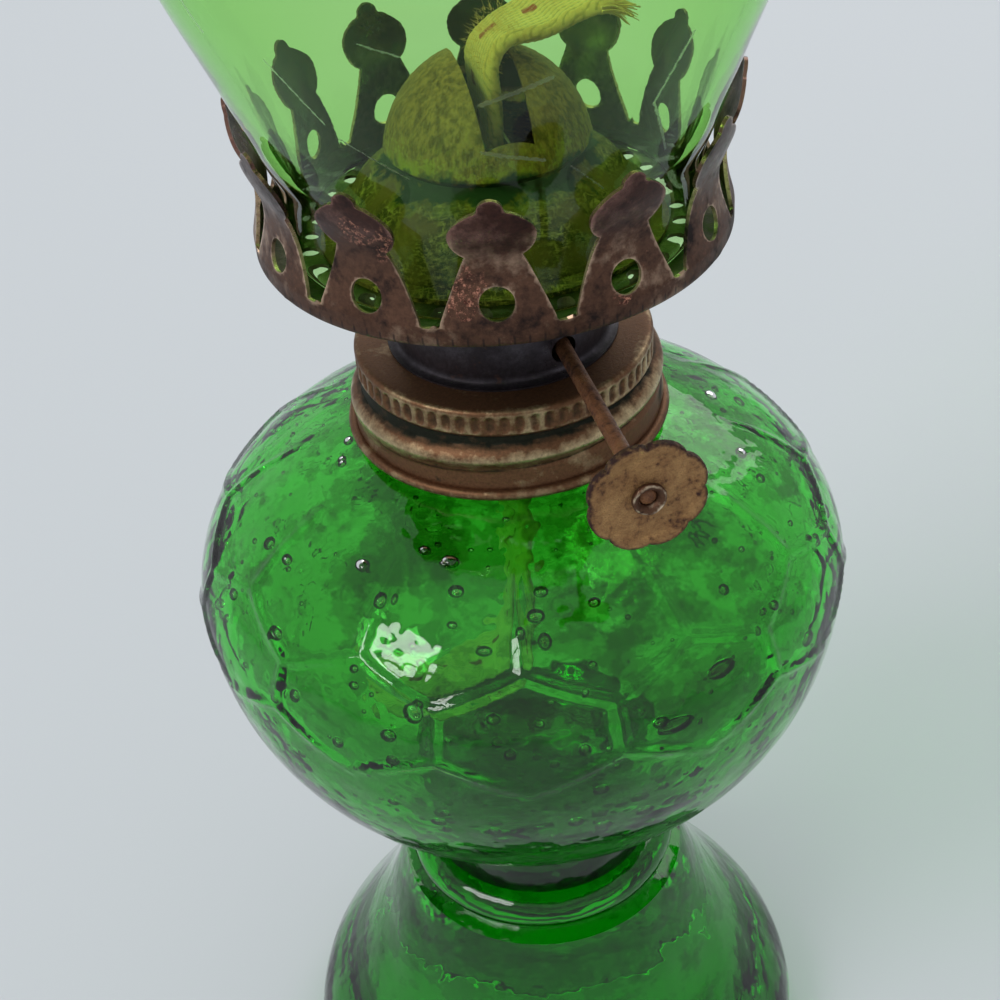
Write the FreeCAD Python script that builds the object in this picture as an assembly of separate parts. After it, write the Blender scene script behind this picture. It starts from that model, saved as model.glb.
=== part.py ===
import FreeCAD, Part
import math
import os

from FreeCAD import Vector

os.makedirs("parts", exist_ok=True)

# Glass oil lamp. Millimetres, +Z up, -Y towards the side that the knob points to.
# The origin is the centre of the ring that the foot stands on.

# Glass base: foot, stem, font and threaded neck, pressed in one piece
foot_radius = 36.1
foot_edge_radius = 1.6
foot_band_height = 6.0
foot_height = 39.5
foot_rest_width = 3.6
foot_hollow_height = 30.0
foot_flank_shares = ((0.972, 0.25), (0.864, 0.405), (0.77, 0.53), (0.69, 0.66), (0.63, 0.785), (0.58, 0.91))
foot_hollow_corner_share = 0.9
waist_radius = 19.6
waist_groove_depth = 2.0
knop_radius = 18.5
knop_height = 5.0
stem_radius = 15.6
stem_fillet_share = 0.09
font_radius = 39.6
font_equator_height = 92.7
font_upper_rise = 22.8
font_lower_drop = 38.0
font_wall = 3.0
font_curve_parts = 6
neck_radius = 15.9
neck_wall = 3.3
neck_above_font = 7.5
neck_rim_round = 0.6
neck_root_spread = 2.0

# Screw thread shared by the glass neck and the cap
thread_pitch = 4.2
thread_ridge_radius = 0.6
thread_ridge_sink_share = 0.75
thread_clearance = 0.3
thread_height_under_cap = 5.7
ridge_turns_below_front = 0.64
ridge_turns_above_front = 0.33
channel_turns_below_front = 0.8
channel_turns_above_front = 0.5
bead_turns_above_front = 0.54

# Screw cap, its washer and the plate that closes the font
gasket_thickness = 1.0
gasket_width = 2.6
fuel_plate_thickness = 0.5
fuel_plate_gap = 0.35
cap_sheet = 0.5
cap_radius = 17.0
cap_corner_radius = 0.8
cap_knurl_band = 2.9
cap_waist_pull = 0.25
cap_flare_start = 6.3
cap_flare_height = 0.9
cap_flare_spread = 0.6
cap_skirt_spread = 0.2
cap_height = 10.7
cap_lip_radius = 18.7
cap_lip_bead_radius = 0.6
bead_sheet_share = 0.8
bead_centre_share = 0.85
flute_count = 66
flute_radius = 0.45
flute_depth = 0.3
flute_top_gap = 0.6

# Burner drum on top of the cap
drum_radius = 12.0
drum_sheet = 0.5
drum_flange_radius = 13.1
drum_flange_thickness = 0.4
drum_shoulder_height = 0.6
spindle_hole_radius = 1.5

# Wick and the tube that holds it
wick_width = 9.0
wick_thickness = 1.8
wick_clearance = 0.2
wick_free_height = 31.5
wick_flop_radius = 4.0
wick_flop_rise = 8.0
wick_flop_run = 10.0
wick_tail_above_floor = 27.8
wick_tail_radius = 12.0
wick_tail_run = 9.0
tube_sheet = 0.3
tube_corner_radius = 0.5
tube_rise = 25.0
tube_drop = 14.0
window_height = 3.8
window_clearance = 0.3

# Vent tube beside the wick tube
vent_radius = 1.2
vent_wall = 0.3
vent_setback = 8.0
vent_rise = 10.0
vent_drop = 5.0

# Spindle with its ratchet wheels, bracket and knob
spindle_azimuth = 12.0
spindle_offset = 4.0
spindle_rise = 2.9
spindle_radius = 0.9
spindle_rear = 5.6
spindle_running_gap = 0.05
wheel_gap = 0.1
wheel_spread = 2.2
wheel_thickness = 0.8
wheel_root_share = 0.7
wheel_teeth = 8
bracket_sheet = 0.4
bracket_half_length = 3.8
bracket_depth = 7.8
bracket_top = 6.3
collar_radius = 1.5
collar_length = 0.7
collar_gap = 0.15
knob_reach = 39.0
knob_radius = 6.2
knob_valley_radius = 5.7
knob_lobes = 8
knob_sheet = 0.7
knob_rim_width = 0.5
knob_rim_height = 0.3
eyelet_wall = 0.35
eyelet_flange_radius = 1.75
eyelet_flange_thickness = 0.4
eyelet_lip = 0.3

# Gallery: crown of prongs, perforated air plate and flame deflector
gallery_rise = 13.6
crown_azimuth = -1.5
crown_radius = 25.8
crown_sheet = 0.4
crown_flange_width = 2.2
crown_waist_pull = 0.6
crown_lobe_spread = 0.4
crown_tip_spread = 1.5
prong_count = 12
prong_height = 16.4
prong_base_half_width = 5.6
prong_foot_round = 0.6
prong_notch_height = 2.2
prong_waist_half_width = 2.75
prong_waist_height = 9.7
prong_lobe_half_width = 4.2
prong_lobe_height = 12.3
prong_shoulder_half_width = 1.9
prong_shoulder_height = 14.9
prong_tip_half_width = 1.2
prong_hole_radius = 1.75
prong_hole_height = 4.6
plate_sheet = 0.4
plate_gap = 0.05
plate_hole_count = 30
plate_hole_radius = 1.0
plate_hole_circle = 19.9
deflector_sheet = 0.5
deflector_dome_radius = 11.2
deflector_dome_height = 19.05
deflector_dome_edge_angle = 10.0
deflector_groove_depth = 0.8
deflector_groove_height = 9.0
deflector_ledge_radius = 11.8
deflector_ledge_height = 7.2
deflector_skirt_shares = ((0.78, 0.72), (0.852, 0.375), (0.895, 0.14))
deflector_flange_radius = 18.6
slot_half_width = 2.8
slot_end_half_width = 2.55
slot_end_reach = 9.8
slot_floor_height = 11.9

# Chimney: a ring that stands on the air plate, a bulb and a drawn-in top
chimney_height = 120.6
chimney_bulb_radius = 35.6
chimney_wall = 2.0
chimney_outline_shares = (
    (0.64, 0.0), (0.645, 0.075), (0.669, 0.094), (0.775, 0.177), (0.885, 0.261), (0.955, 0.346),
    (1.0, 0.455), (0.93, 0.58), (0.75, 0.74), (0.61, 0.88), (0.565, 1.0),
)

# Heights worked out from the sizes above
neck_rim_height = font_equator_height + font_upper_rise + neck_above_font
cap_top = neck_rim_height + gasket_thickness + fuel_plate_thickness + cap_sheet
crown_foot = cap_top + gallery_rise
plate_foot = crown_foot + crown_sheet
plate_top = plate_foot + plate_sheet
spindle_height = cap_top + spindle_rise
wick_tail_height = font_equator_height - font_lower_drop + font_wall + wick_tail_above_floor
overrun = 1.0

UP = Vector(0, 0, 1)
FORWARD = Vector(0, -1, 0)
ORIGIN = Vector(0, 0, 0)
FULL_TURN = 360
QUARTER_TURN = 90


def outline(start, *steps):
    """Closed wire of (across, up) points in the XZ plane. A step is a point for a straight line,
    ("arc", through, end), ("blend", corner, end) or ("curve", points)."""
    here = Vector(start[0], 0, start[1])
    edges = []
    for step in steps + (start,):
        if not isinstance(step[0], str):
            end = Vector(step[0], 0, step[1])
            if end != here:
                edges.append(Part.LineSegment(here, end).toShape())
        elif step[0] == "curve":
            points = [here] + [Vector(x, 0, z) for x, z in step[1]]
            curve = Part.BSplineCurve()
            curve.interpolate(points)
            edges.append(curve.toShape())
            end = points[-1]
        else:
            middle = Vector(step[1][0], 0, step[1][1])
            end = Vector(step[2][0], 0, step[2][1])
            if step[0] == "arc":
                curve = Part.Arc(here, middle, end)
            else:
                curve = Part.BezierCurve()
                curve.setPoles([here, middle, end])
            edges.append(curve.toShape())
        here = end
    return Part.Wire(edges)


def turned(start, *steps):
    """Solid of revolution about the lamp's axis."""
    return Part.Face(outline(start, *steps)).revolve(ORIGIN, UP, FULL_TURN)


def ring(inner, outer, low, high):
    return turned((inner, low), (outer, low), (outer, high), (inner, high))


def spun(shape, degrees):
    copy = shape.copy()
    copy.rotate(ORIGIN, UP, degrees)
    return copy


def forward_rod(radius, rear, front):
    """Cylinder on the spindle's line, before the burner is turned to the spindle's azimuth."""
    base = Vector(spindle_offset, -rear, spindle_height)
    return Part.makeCylinder(radius, front - rear, base, FORWARD)


def block(x_low, x_high, y_low, y_high, z_low, z_high):
    return Part.makeBox(x_high - x_low, y_high - y_low, z_high - z_low, Vector(x_low, y_low, z_low))


def rounded_bar(half_x, half_y, corner, low, high):
    bar = block(-half_x, half_x, -half_y, half_y, low, high)
    upright = [e for e in bar.Edges if abs(e.tangentAt(e.FirstParameter).z) > 0.5]
    return bar.makeFillet(corner, upright)


def helix_rod(radius, centre_radius, turns_below, turns_above):
    """Round bar wound round the axis on the thread, passing the front at the thread's height."""
    start_height = cap_top - thread_height_under_cap - thread_pitch * turns_below
    turns = turns_below + turns_above
    path = Part.Wire(Part.makeHelix(thread_pitch, thread_pitch * turns, centre_radius))
    section = Part.Wire(Part.makeCircle(radius, Vector(centre_radius, 0, 0), Vector(0, 1, 0)))
    rod = path.makePipeShell([section], True, True)
    rod.rotate(ORIGIN, UP, -QUARTER_TURN - FULL_TURN * turns_below)
    rod.translate(UP * start_height)
    return rod


def save(name, shape):
    solids = shape.Solids
    assert shape.isValid() and len(solids) == 1, name
    solids[0].exportStep("parts/" + name + ".step")
    print(name, "volume", round(solids[0].Volume, 1))


# Glass base
def oval_point(radius, rise, angle):
    return radius * math.cos(angle), font_equator_height + rise * math.sin(angle)


def font_curve(radius, rise, drop, low_radius, high_radius):
    """Points up an oval font from its underside at low_radius to its shoulder at high_radius."""
    low_angle = -math.acos(low_radius / radius)
    high_angle = math.acos(high_radius / radius)
    below = [oval_point(radius, drop, low_angle * (1 - i / font_curve_parts)) for i in range(font_curve_parts)]
    above = [oval_point(radius, rise, high_angle * i / font_curve_parts) for i in range(font_curve_parts + 1)]
    return below + above


def glass_base():
    rest_inner = foot_radius - foot_edge_radius - foot_rest_width
    edge_start = foot_radius - foot_edge_radius
    edge_round = foot_edge_radius * (1 - math.cos(math.radians(QUARTER_TURN / 2)))
    flank = [(foot_radius * across, foot_height * up) for across, up in foot_flank_shares]
    knop_low = foot_height + waist_groove_depth / 2
    knop_top = knop_low + knop_height

    outer = font_curve(font_radius, font_upper_rise, font_lower_drop, stem_radius * (1 + stem_fillet_share),
                       neck_radius + neck_root_spread)
    join_radius, join_height = outer[0]
    across = join_radius - stem_radius
    slope = (font_equator_height - join_height) / join_radius * (font_radius / font_lower_drop) ** 2
    stem_corner = join_height - across / slope
    stem_end = stem_corner - math.hypot(across, join_height - stem_corner)
    shoulder_height = outer[-1][1]

    bore = neck_radius - neck_wall
    inner = font_curve(font_radius - font_wall, font_upper_rise - font_wall, font_lower_drop - font_wall, 0, bore)
    inner.reverse()

    body = turned(
        (0, foot_hollow_height),
        ("blend", (rest_inner * foot_hollow_corner_share, foot_hollow_height), (rest_inner, 0)),
        (edge_start, 0),
        ("arc", (foot_radius - edge_round, edge_round), (foot_radius, foot_edge_radius)),
        (foot_radius, foot_band_height),
        ("curve", flank + [(waist_radius, foot_height)]),
        ("blend", (knop_radius - waist_groove_depth, foot_height), (knop_radius - waist_groove_depth / 2, knop_low)),
        ("arc", (knop_radius, (knop_low + knop_top) / 2), (stem_radius, knop_top)),
        (stem_radius, stem_end),
        ("blend", (stem_radius, stem_corner), outer[0]),
        ("curve", outer[1:]),
        ("blend", (neck_radius, shoulder_height), (neck_radius, shoulder_height + neck_root_spread)),
        (neck_radius, neck_rim_height - neck_rim_round),
        ("blend", (neck_radius, neck_rim_height), (neck_radius - neck_rim_round, neck_rim_height)),
        (bore, neck_rim_height),
        inner[0],
        ("curve", inner[1:]),
    )
    ridge_centre = neck_radius + thread_ridge_radius * thread_ridge_sink_share
    ridge = helix_rod(thread_ridge_radius, ridge_centre, ridge_turns_below_front, ridge_turns_above_front)
    return body.fuse(ridge)


# Screw cap and what it clamps
def cap_gasket():
    outer = neck_radius - neck_rim_round / 2
    return ring(outer - gasket_width, outer, neck_rim_height, neck_rim_height + gasket_thickness)


def fuel_plate():
    low = neck_rim_height + gasket_thickness
    high = low + fuel_plate_thickness
    disc = Part.makeCylinder(cap_radius - cap_waist_pull - cap_sheet - fuel_plate_gap, high - low, UP * low)
    tube_hole = tube_body(low - overrun, high + overrun)
    vent_hole = Part.makeCylinder(vent_radius, high - low + overrun * 2, Vector(0, vent_setback, low - overrun))
    return disc.cut([tube_hole, vent_hole])


def screw_cap():
    bore = drum_radius - drum_sheet
    waist = cap_radius - cap_waist_pull
    flare = waist + cap_flare_spread + cap_waist_pull
    skirt = flare + cap_skirt_spread
    foot = cap_top - cap_height
    flare_top = cap_top - cap_flare_start
    flare_low = flare_top - cap_flare_height
    band_low = cap_top - cap_knurl_band
    shell = turned(
        (bore, cap_top),
        (cap_radius - cap_corner_radius, cap_top),
        ("blend", (cap_radius, cap_top), (cap_radius, cap_top - cap_corner_radius)),
        (cap_radius, band_low),
        (waist, band_low - cap_waist_pull * 2),
        (waist, flare_top),
        (flare, flare_low),
        (skirt, foot + cap_lip_bead_radius),
        (skirt - cap_sheet, foot + cap_lip_bead_radius),
        (flare - cap_sheet, flare_low - cap_sheet / 2),
        (waist - cap_sheet, flare_top - cap_sheet / 2),
        (waist - cap_sheet, cap_top - cap_sheet),
        (bore, cap_top - cap_sheet),
    )
    lip_centre = cap_lip_radius - cap_lip_bead_radius
    lip = Part.makeTorus(lip_centre, cap_lip_bead_radius, UP * (foot + cap_lip_bead_radius))

    ridge_centre = neck_radius + thread_ridge_radius * thread_ridge_sink_share
    channel_radius = thread_ridge_radius + thread_clearance
    bead_radius = channel_radius + cap_sheet * bead_sheet_share
    bead_centre = ridge_centre + cap_sheet * bead_centre_share
    bead = helix_rod(bead_radius, bead_centre, channel_turns_below_front, bead_turns_above_front)
    channel = helix_rod(channel_radius, bead_centre, channel_turns_below_front, channel_turns_above_front)
    inside = Part.makeCylinder(waist - cap_sheet, cap_height, UP * (foot + cap_lip_bead_radius))
    shell = shell.fuse([lip, bead.cut(inside)]).cut(channel)

    flute_low = cap_top - cap_knurl_band
    flute_high = cap_top - flute_top_gap
    flute_place = Vector(cap_radius + flute_radius - flute_depth, 0, flute_low)
    flute = Part.makeCylinder(flute_radius, flute_high - flute_low, flute_place)
    flutes = [spun(flute, FULL_TURN * i / flute_count) for i in range(flute_count)]
    return shell.cut(flutes)


# Burner drum
def burner_drum():
    inner = drum_radius - drum_sheet
    clinch_top = plate_top + drum_flange_thickness
    drum = turned(
        (inner, cap_top),
        (drum_flange_radius, cap_top),
        (drum_flange_radius, cap_top + drum_flange_thickness / 2),
        ("blend", (drum_radius, cap_top + drum_flange_thickness / 2),
         (drum_radius, cap_top + drum_flange_radius - drum_radius)),
        (drum_radius, plate_foot - drum_shoulder_height * 2),
        (drum_radius + drum_shoulder_height, plate_foot - drum_shoulder_height),
        (drum_radius + drum_shoulder_height, plate_foot),
        (drum_radius, plate_foot),
        (drum_radius, plate_top),
        (drum_flange_radius, plate_top),
        (drum_flange_radius, clinch_top),
        (inner, clinch_top),
    )
    return drum.cut(forward_rod(spindle_hole_radius, 0, drum_radius + overrun))


# Wick tube, vent tube and wick
def tube_body(low, high):
    half_x = wick_thickness / 2 + wick_clearance + tube_sheet
    half_y = wick_width / 2 + wick_clearance + tube_sheet
    return rounded_bar(half_x, half_y, tube_corner_radius, low, high)


def wick_tube():
    low = cap_top - tube_drop
    high = cap_top + tube_rise
    half_x = wick_thickness / 2 + wick_clearance
    half_y = wick_width / 2 + wick_clearance
    inside = block(-half_x, half_x, -half_y, half_y, low - overrun, high + overrun)
    half_window = wheel_thickness / 2 + window_clearance
    windows = []
    for side in (-1, 1):
        middle = wheel_spread * side
        windows.append(block(0, half_x + tube_sheet * 2, middle - half_window, middle + half_window,
                             spindle_height - window_height / 2, spindle_height + window_height / 2))
    return tube_body(low, high).cut([inside] + windows)


def vent_tube():
    low = cap_top - vent_drop
    length = vent_drop + vent_rise
    outside = Part.makeCylinder(vent_radius, length, Vector(0, vent_setback, low))
    inside = Part.makeCylinder(vent_radius - vent_wall, length, Vector(0, vent_setback, low))
    return outside.cut(inside)


def wick():
    """One flat woven strip: its tail lies in the font, its free end has fallen over to the right."""
    half = wick_thickness / 2
    flop_height = cap_top + wick_free_height
    rise = math.radians(wick_flop_rise)
    half_bend = (math.radians(QUARTER_TURN) - rise) / 2

    def flop(radius, angle):
        return wick_flop_radius - radius * math.cos(angle), flop_height + radius * math.sin(angle)

    def flop_end(radius):
        x, z = flop(radius, half_bend * 2)
        return x + wick_flop_run * math.cos(rise), z + wick_flop_run * math.sin(rise)

    def tail(radius, angle):
        return -wick_tail_radius + radius * math.cos(angle), wick_tail_height - radius * math.sin(angle)

    eighth = math.radians(QUARTER_TURN / 2)
    under = wick_tail_radius + half
    over = wick_tail_radius - half
    near = wick_flop_radius - half
    far = wick_flop_radius + half
    tail_end = -wick_tail_radius - wick_tail_run
    strip = outline(
        (tail_end, wick_tail_height - under),
        (-wick_tail_radius, wick_tail_height - under),
        ("arc", tail(under, eighth), (half, wick_tail_height)),
        (half, flop_height),
        ("arc", flop(near, half_bend), flop(near, half_bend * 2)),
        flop_end(near),
        flop_end(far),
        flop(far, half_bend * 2),
        ("arc", flop(far, half_bend), (-half, flop_height)),
        (-half, wick_tail_height),
        ("arc", tail(over, eighth), (-wick_tail_radius, wick_tail_height - over)),
        (tail_end, wick_tail_height - over),
    )
    strip.translate(Vector(0, -wick_width / 2, 0))
    return Part.Face(strip).extrude(Vector(0, wick_width, 0))


# Spindle, ratchet wheels and their bracket
wheel_tip_radius = spindle_offset - wick_thickness / 2 - wheel_gap


def spindle():
    return forward_rod(spindle_radius, -spindle_rear, knob_reach + eyelet_flange_thickness / 2)


def ratchet_wheel(middle):
    corners = []
    for i in range(wheel_teeth * 2):
        radius = wheel_tip_radius * (wheel_root_share if i % 2 else 1)
        angle = math.pi * i / wheel_teeth
        corners.append(Vector(spindle_offset + radius * math.cos(angle), -middle - wheel_thickness / 2,
                              spindle_height + radius * math.sin(angle)))
    star = Part.Face(Part.makePolygon(corners + corners[:1])).extrude(Vector(0, wheel_thickness, 0))
    return star.cut(forward_rod(spindle_radius, middle - wheel_thickness, middle + wheel_thickness))


def spindle_bracket():
    tube_side = wick_thickness / 2 + wick_clearance + tube_sheet
    foot = cap_top - cap_sheet
    top = cap_top + bracket_top
    length = bracket_half_length
    outside = block(tube_side, bracket_depth, -length, length, foot, top)
    inside = block(0, bracket_depth - bracket_sheet, bracket_sheet - length, length - bracket_sheet,
                   foot - overrun, top + overrun)
    bearing = forward_rod(spindle_radius + spindle_running_gap, -length - overrun, length + overrun)
    return outside.cut([inside, bearing])


def spindle_collar():
    rear = bracket_half_length + collar_gap
    outside = forward_rod(collar_radius, rear, rear + collar_length)
    return outside.cut(forward_rod(spindle_radius, rear, rear + collar_length))


def knob_face(shrink, front):
    """Flower outline of the knob, smaller all round by shrink, at its place along the spindle."""
    edges = []
    for i in range(knob_lobes):
        points = []
        for half_step, radius in ((0, knob_valley_radius), (1, knob_radius), (2, knob_valley_radius)):
            angle = math.pi * (2 * i + half_step) / knob_lobes
            points.append(Vector(spindle_offset + (radius - shrink) * math.cos(angle), -front,
                                 spindle_height + (radius - shrink) * math.sin(angle)))
        edges.append(Part.Arc(*points).toShape())
    return Part.Face(Part.Wire(edges))


def knob():
    rear = knob_reach - knob_sheet
    disc = knob_face(0, rear).extrude(FORWARD * (knob_sheet + knob_rim_height))
    recess = knob_face(knob_rim_width, knob_reach).extrude(FORWARD * (knob_rim_height + overrun))
    hole = forward_rod(spindle_radius + eyelet_wall, rear - overrun, knob_reach + overrun)
    return disc.cut([recess, hole])


def knob_eyelet():
    rear = knob_reach - knob_sheet
    barrel = forward_rod(spindle_radius + eyelet_wall, rear, knob_reach)
    back = forward_rod(eyelet_flange_radius, rear - eyelet_flange_thickness, rear)
    front = forward_rod(eyelet_flange_radius, knob_reach, knob_reach + eyelet_flange_thickness + eyelet_lip)
    lip_edge = [e for e in front.Edges
                if abs(e.CenterOfMass.y + knob_reach + eyelet_flange_thickness + eyelet_lip) < eyelet_lip / 2]
    front = front.makeFillet(eyelet_lip, lip_edge)
    bore = forward_rod(spindle_radius, rear - overrun, knob_reach + overrun * 2)
    return barrel.fuse([back, front]).cut(bore)


# Gallery
def prong_outline():
    """Half a prong and half of each notch beside it, drawn up from the crown's foot, then mirrored."""
    edge = crown_radius * math.sin(math.pi / prong_count)
    side = [
        (edge, 0),
        (edge, prong_notch_height),
        (prong_base_half_width + prong_foot_round, prong_notch_height),
        (prong_base_half_width, prong_notch_height + prong_foot_round),
        (prong_waist_half_width, prong_waist_height),
        (prong_lobe_half_width, prong_lobe_height),
        (prong_shoulder_half_width, prong_shoulder_height),
        (prong_tip_half_width, (prong_shoulder_height + prong_height) / 2),
    ]
    left = [(-x, z) for x, z in side]
    lobe_low = (prong_lobe_half_width, prong_waist_height + (prong_lobe_height - prong_waist_height) / 3)
    lobe_high = (prong_lobe_half_width, (prong_lobe_height + prong_shoulder_height) / 2)
    corner = (prong_base_half_width, prong_notch_height)
    return outline(
        left[0], side[0], side[1], side[2],
        ("blend", corner, side[3]),
        side[4],
        ("blend", lobe_low, side[5]),
        ("blend", lobe_high, side[6]),
        ("blend", (prong_tip_half_width, prong_shoulder_height), side[7]),
        ("arc", (0, prong_height), left[7]),
        ("blend", (-prong_tip_half_width, prong_shoulder_height), left[6]),
        ("blend", (-lobe_high[0], lobe_high[1]), left[5]),
        ("blend", (-lobe_low[0], lobe_low[1]), left[4]),
        left[3],
        ("blend", (-corner[0], corner[1]), left[2]),
        left[1],
    )


def gallery_crown():
    inner = crown_radius - crown_sheet
    rise = [
        (crown_radius, prong_notch_height),
        (crown_radius - crown_waist_pull, prong_waist_height),
        (crown_radius + crown_lobe_spread, prong_lobe_height),
        (crown_radius + crown_tip_spread, prong_height + overrun),
    ]
    back = [(across - crown_sheet, up) for across, up in reversed(rise)]
    sheet = Part.Face(outline(
        (inner - crown_flange_width, 0),
        (crown_radius, 0),
        rise[0],
        ("curve", rise[1:]),
        back[0],
        ("curve", back[1:]),
        (inner, crown_sheet),
        (inner - crown_flange_width, crown_sheet),
    ))
    step = FULL_TURN / prong_count
    sheet.rotate(ORIGIN, UP, -QUARTER_TURN - step / 2)
    sector = sheet.revolve(ORIGIN, UP, step)
    prism = Part.Face(prong_outline()).extrude(FORWARD * crown_radius * 2)
    hole = Part.makeCylinder(prong_hole_radius, crown_radius * 2, UP * prong_hole_height, FORWARD)
    prong = sector.common(prism).cut(hole)
    prongs = [spun(prong, step * i) for i in range(prong_count)]
    crown = prongs[0].fuse(prongs[1:]).removeSplitter()
    crown.translate(UP * crown_foot)
    return spun(crown, crown_azimuth)


def air_plate():
    disc = ring(drum_radius, crown_radius - crown_sheet - plate_gap, plate_foot, plate_top)
    place = Vector(plate_hole_circle, 0, plate_foot - overrun)
    hole = Part.makeCylinder(plate_hole_radius, plate_sheet + overrun * 2, place)
    return disc.cut([spun(hole, FULL_TURN * i / plate_hole_count) for i in range(plate_hole_count)])


def flame_deflector():
    sheet = deflector_sheet
    dome = deflector_dome_radius
    centre = plate_top + deflector_dome_height - dome
    edge_angle = math.radians(deflector_dome_edge_angle)
    middle_angle = (edge_angle + math.radians(QUARTER_TURN)) / 2
    groove = dome - deflector_groove_depth
    groove_height = plate_top + deflector_groove_height
    ledge_height = plate_top + deflector_ledge_height
    skirt = [(deflector_flange_radius * across, plate_top + deflector_ledge_height * up)
             for across, up in deflector_skirt_shares]
    lining = [(across - sheet, up) for across, up in reversed(skirt)]

    def on_dome(radius, angle):
        return radius * math.cos(angle), centre + radius * math.sin(angle)

    shell = turned(
        (0, centre + dome),
        ("arc", on_dome(dome, middle_angle), on_dome(dome, edge_angle)),
        (groove, groove_height),
        (deflector_ledge_radius, ledge_height),
        ("curve", skirt),
        (skirt[-1][0], plate_top + sheet),
        (deflector_flange_radius, plate_top + sheet),
        (deflector_flange_radius, plate_top),
        (skirt[-1][0] - sheet, plate_top),
        lining[0],
        ("curve", lining[1:] + [(deflector_ledge_radius - sheet, ledge_height)]),
        (groove - sheet, groove_height),
        on_dome(dome - sheet, edge_angle),
        ("arc", on_dome(dome - sheet, middle_angle), (0, centre + dome - sheet)),
    )
    end = slot_end_half_width
    right = Part.Arc(Vector(end, -slot_end_reach, 0), Vector(slot_half_width, 0, 0), Vector(end, slot_end_reach, 0))
    left = Part.Arc(Vector(-end, slot_end_reach, 0), Vector(-slot_half_width, 0, 0), Vector(-end, -slot_end_reach, 0))
    back = Part.LineSegment(right.EndPoint, left.StartPoint)
    front = Part.LineSegment(left.EndPoint, right.StartPoint)
    slot = Part.Face(Part.Wire([right.toShape(), back.toShape(), left.toShape(), front.toShape()]))
    slot.translate(UP * (plate_top + slot_floor_height))
    return shell.cut(slot.extrude(UP * deflector_dome_height))


# Chimney
def chimney():
    outer = [(chimney_bulb_radius * across, plate_top + chimney_height * up) for across, up in chimney_outline_shares]
    inner = [(across - chimney_wall, up) for across, up in reversed(outer)]
    return turned(outer[0], ("curve", outer[1:]), inner[0], ("curve", inner[1:]))


save("glass_base", glass_base())
save("cap_gasket", cap_gasket())
save("screw_cap", screw_cap())
save("fuel_plate", spun(fuel_plate(), spindle_azimuth))
save("burner_drum", spun(burner_drum(), spindle_azimuth))
save("wick_tube", spun(wick_tube(), spindle_azimuth))
save("vent_tube", spun(vent_tube(), spindle_azimuth))
save("wick", spun(wick(), spindle_azimuth))
save("spindle", spun(spindle(), spindle_azimuth))
save("ratchet_wheel_front", spun(ratchet_wheel(wheel_spread), spindle_azimuth))
save("ratchet_wheel_rear", spun(ratchet_wheel(-wheel_spread), spindle_azimuth))
save("spindle_bracket", spun(spindle_bracket(), spindle_azimuth))
save("spindle_collar", spun(spindle_collar(), spindle_azimuth))
save("knob", spun(knob(), spindle_azimuth))
save("knob_eyelet", spun(knob_eyelet(), spindle_azimuth))
save("gallery_crown", gallery_crown())
save("air_plate", air_plate())
save("flame_deflector", spun(flame_deflector(), spindle_azimuth))
save("chimney", chimney())
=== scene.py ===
import math
import random

import bpy
import numpy as np
from mathutils import Matrix, Vector


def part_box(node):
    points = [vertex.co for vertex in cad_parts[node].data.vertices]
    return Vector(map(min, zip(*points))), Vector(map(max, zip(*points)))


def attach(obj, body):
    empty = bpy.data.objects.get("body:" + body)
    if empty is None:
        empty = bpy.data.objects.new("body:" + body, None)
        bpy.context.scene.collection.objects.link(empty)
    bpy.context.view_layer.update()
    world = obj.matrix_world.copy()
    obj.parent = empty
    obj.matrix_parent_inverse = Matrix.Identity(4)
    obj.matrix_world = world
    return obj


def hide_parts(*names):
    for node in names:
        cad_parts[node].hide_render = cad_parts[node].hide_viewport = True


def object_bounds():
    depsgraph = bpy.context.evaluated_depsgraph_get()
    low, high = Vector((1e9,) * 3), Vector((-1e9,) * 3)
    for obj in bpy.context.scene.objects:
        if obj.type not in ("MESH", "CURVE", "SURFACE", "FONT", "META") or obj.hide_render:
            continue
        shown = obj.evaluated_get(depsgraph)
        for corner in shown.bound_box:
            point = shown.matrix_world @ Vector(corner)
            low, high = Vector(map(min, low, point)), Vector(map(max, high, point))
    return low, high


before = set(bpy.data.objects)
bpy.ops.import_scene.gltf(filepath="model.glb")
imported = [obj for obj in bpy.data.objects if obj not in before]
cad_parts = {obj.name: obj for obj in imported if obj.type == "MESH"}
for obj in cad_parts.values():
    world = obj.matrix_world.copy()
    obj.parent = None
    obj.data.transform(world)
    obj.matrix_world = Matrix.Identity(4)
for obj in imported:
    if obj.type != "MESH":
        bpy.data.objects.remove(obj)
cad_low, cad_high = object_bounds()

# Glass base: foot, stem, font and threaded neck, one piece of bottle-green glass pressed in a mould.
# A band of raised honeycomb lines goes round the font, and the glass is full of trapped bubbles.
# It stands on the ring of its hollow foot.
foot_radius = 0.0361
foot_edge_radius = 0.0016
foot_band_height = 0.006
foot_height = 0.0395
foot_rest_inner = 0.0309
foot_hollow_height = 0.030
foot_hollow_corner = 0.0278
foot_flank_shares = ((0.972, 0.25), (0.864, 0.405), (0.77, 0.53), (0.69, 0.66), (0.63, 0.785), (0.58, 0.91))
waist_radius = 0.0196
knop_radius = 0.0185
knop_low = 0.0405
knop_top = 0.0455
waist_groove = 0.002
stem_radius = 0.0156
font_radius = 0.0396
font_equator = 0.0927
font_rise = 0.0228
font_drop = 0.038
font_wall = 0.003
font_foot_radius = 0.0170
neck_radius = 0.0159
neck_bore = 0.0126
neck_root_spread = 0.002
neck_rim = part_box("cap_gasket")[0].z
neck_rim_round = 0.0006
thread_pitch = 0.0042
thread_depth = 0.0009
thread_half_width = 0.0008
thread_low = 0.1145
thread_high = 0.1212
thread_under_cap_top = 0.0057
glass_steps = 408
cell_count = 12
cell_start = -2.0
cell_top = 0.1036
cell_shoulder = 0.1004
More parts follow.
